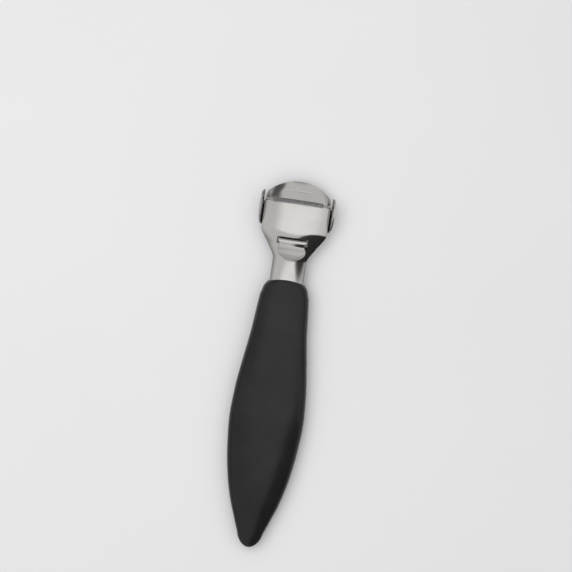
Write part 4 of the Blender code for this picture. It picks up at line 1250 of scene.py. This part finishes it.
def floor_finish(scene):
    """Pale matt floor with a very faint mottle."""
    made = Finish("pale_floor", metallic=0.0, roughness=0.75)
    tone = made.clouded(made.noise(scale=9.0), scene.cutter_stage.floor, low=0.99, high=1.01)
    made.link(tone, "Base Color")
    return made.material


# Operators


class BuildHandle(bpy.types.Operator):
    """Build the two moulded handle shells"""

    bl_idname = "cutter.handle"
    bl_label = "Handle Shells"

    def execute(self, context):
        plan, plastic = Plan(context.scene), plastic_finish(context.scene)
        for name, node, face_side in (
            ("moulded_front_shell", "handle_front_shell", True),
            ("moulded_back_shell", "handle_back_shell", False),
        ):
            surfaces = [shell_surface(plan, face_side), *shell_fittings(plan, face_side)]
            shell = make_piece(name, surfaces, plastic)
            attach(shell, "handle")
            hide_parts(node)
        return {"FINISHED"}


class BuildHead(bpy.types.Operator):
    """Build the stamped frame with its tang, neck, plate and guard"""

    bl_idname = "cutter.head"
    bl_label = "Head Frame"

    def execute(self, context):
        plan = Plan(context.scene)
        steel = steel_finish(context.scene, "polished_frame_steel", context.scene.cutter_finish.steel_gloss)
        head = make_piece("stamped_head_frame", [frame_surface(plan)], steel)
        holes = [(0.0, plan.along(place)) for place in plan.tang_pegs]
        drill(head, holes, TANG_HOLE_RADIUS, 0.0, plan.tang_top + MM)
        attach(head, "handle")
        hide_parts("head_frame")
        return {"FINISHED"}


class BuildClamp(bpy.types.Operator):
    """Build the blade clamp with its cheeks, pips, tongue and thumb tab"""

    bl_idname = "cutter.clamp"
    bl_label = "Blade Clamp"

    def execute(self, context):
        plan = Plan(context.scene)
        gloss = context.scene.cutter_finish.steel_gloss + CLAMP_ROUGHER
        steel = steel_finish(context.scene, "polished_clamp_steel", gloss)
        surfaces = [clamp_surface(plan)]
        for side in (-1, 1):
            surfaces += [cheek_surface(plan, side), pip_surface(plan, side)]
        clamp = make_piece("stamped_blade_clamp", surfaces, steel)
        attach(clamp, "clamp")
        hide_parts("blade_clamp")
        return {"FINISHED"}


class BuildBlade(bpy.types.Operator):
    """Build the arched blade with its ground edge and two holes"""

    bl_idname = "cutter.blade"
    bl_label = "Blade"

    def execute(self, context):
        plan = Plan(context.scene)
        blade = make_piece("ground_blade", [blade_surface(plan)], blade_finish(context.scene))
        holes = [(side * plan.clamp.pip_offset, plan.along(plan.pip)) for side in (-1, 1)]
        drill(blade, holes, plan.blade.hole_radius, 0.0, plan.head.plate_top)
        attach(blade, "clamp")
        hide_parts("blade")
        return {"FINISHED"}


class BuildStage(bpy.types.Operator):
    """Set the floor, the soft light and the camera"""

    bl_idname = "cutter.stage"
    bl_label = "Stage"

    def execute(self, context):
        stage = context.scene.cutter_stage
        level, half = CAD_BOX[0].z - FLOOR_GAP, stage.floor_size / 2
        corners = [(x * half, y * half, level) for x, y in ((-1, -1), (1, -1), (1, 1), (-1, 1))]
        mesh = bpy.data.meshes.new("floor")
        mesh.from_pydata(corners, [], [(0, 1, 2, 3)])
        mesh.materials.append(floor_finish(context.scene))
        floor = add_object("floor", mesh)
        set_sky(context.scene, stage.sky)
        lamp = bpy.data.lights.new("soft_box", "AREA")
        lamp.shape, lamp.size, lamp.energy = "SQUARE", stage.lamp_size, stage.lamp_power
        add_object("soft_box", lamp, LAMP_PLACE, LAMP_TURNS).visible_glossy = False
        lens = bpy.data.cameras.new("camera")
        lens.sensor_width = SENSOR_WIDTH
        lens.lens = lens.sensor_width * stage.camera_height / stage.frame_width
        lens.clip_start, lens.clip_end = CLIP_RANGE
        place = (stage.centre_x, stage.centre_y, stage.camera_height + FOCUS_LEVEL)
        context.scene.camera = add_object("camera", lens, place, (0.0, 0.0, stage.camera_roll))
        context.scene.view_settings.view_transform = "Standard"
        return {"FINISHED"}


def set_sky(scene, strength):
    """Pale surroundings that light from overhead more than from the sides.

    What the gloss mirrors is a wide soft bright field overhead, duller towards the horizon, with soft dark
    fields low down that give the polished steel its dark accents.
    """
    world = bpy.data.worlds.new("soft_room")
    world.use_nodes = True
    scene.world = world
    sky = Nodes(world.node_tree)
    sky.tree.nodes.clear()
    way = sky.node("ShaderNodeTexCoord").outputs["Generated"]
    off_centre = sky.vectors("MULTIPLY_ADD", "Vector", way, OVERHEAD_SCALE, OVERHEAD_SHIFT)
    reach = sky.vectors("LENGTH", "Value", off_centre)
    mirrored = sky.faded(reach, *OVERHEAD_FADE, OVERHEAD_LEVEL, AROUND_LEVEL)
    upward = sky.node("ShaderNodeSeparateXYZ", {0: way}).outputs["Z"]
    mirrored = sky.maths("MULTIPLY", mirrored, sky.faded(upward, *HORIZON_FADE, HORIZON_SHARE, 1.0))
    for towards, start, stop, depth in DARK_FIELDS:
        length = math.sqrt(sum(c * c for c in towards))
        aim = sky.vectors("DOT_PRODUCT", "Value", way, [c / length for c in towards])
        mirrored = sky.maths("MULTIPLY", mirrored, sky.faded(aim, start, stop, 1.0, 1.0 - depth))
    downward = sky.maths("MULTIPLY", sky.faded(upward, *DAYLIGHT_FADE, DAYLIGHT_LOW_SHARE, 1.0), strength)
    even, glossy, pale = (
        sky.node("ShaderNodeBackground", {"Color": tone, "Strength": level}).outputs[0]
        for tone, level in ((WHITE, downward), (MIRRORED_TONE, mirrored), (WHITE, BACKDROP_LEVEL))
    )
    path = sky.node("ShaderNodeLightPath").outputs
    first = sky.node("ShaderNodeMixShader", {0: path["Is Glossy Ray"], 1: even, 2: glossy}).outputs[0]
    last = sky.node("ShaderNodeMixShader", {0: path["Is Camera Ray"], 1: first, 2: pale}).outputs[0]
    sky.node("ShaderNodeOutputWorld", {"Surface": last})


BUILD_ORDER = (BuildStage, BuildHandle, BuildHead, BuildClamp, BuildBlade)


class CutterPanel(bpy.types.Panel):
    """Lists the build steps"""

    bl_idname = "VIEW3D_PT_corn_cutter"
    bl_label = "Corn Cutter"
    bl_space_type = "VIEW_3D"
    bl_region_type = "UI"
    bl_category = "Corn Cutter"

    def draw(self, context):
        for step in BUILD_ORDER:
            self.layout.operator(step.bl_idname)


def register():
    for name, group in GROUPS.items():
        bpy.utils.register_class(group)
        setattr(bpy.types.Scene, name, bpy.props.PointerProperty(type=group))
    for kind in (*BUILD_ORDER, CutterPanel):
        bpy.utils.register_class(kind)


def unregister():
    for kind in reversed((*BUILD_ORDER, CutterPanel)):
        bpy.utils.unregister_class(kind)
    for name, group in reversed(GROUPS.items()):
        delattr(bpy.types.Scene, name)
        bpy.utils.unregister_class(group)


def main():
    register()
    bpy.ops.cutter.stage()
    bpy.ops.cutter.handle()
    bpy.ops.cutter.head()
    bpy.ops.cutter.clamp()
    bpy.ops.cutter.blade()


if __name__ == "__main__":
    main()
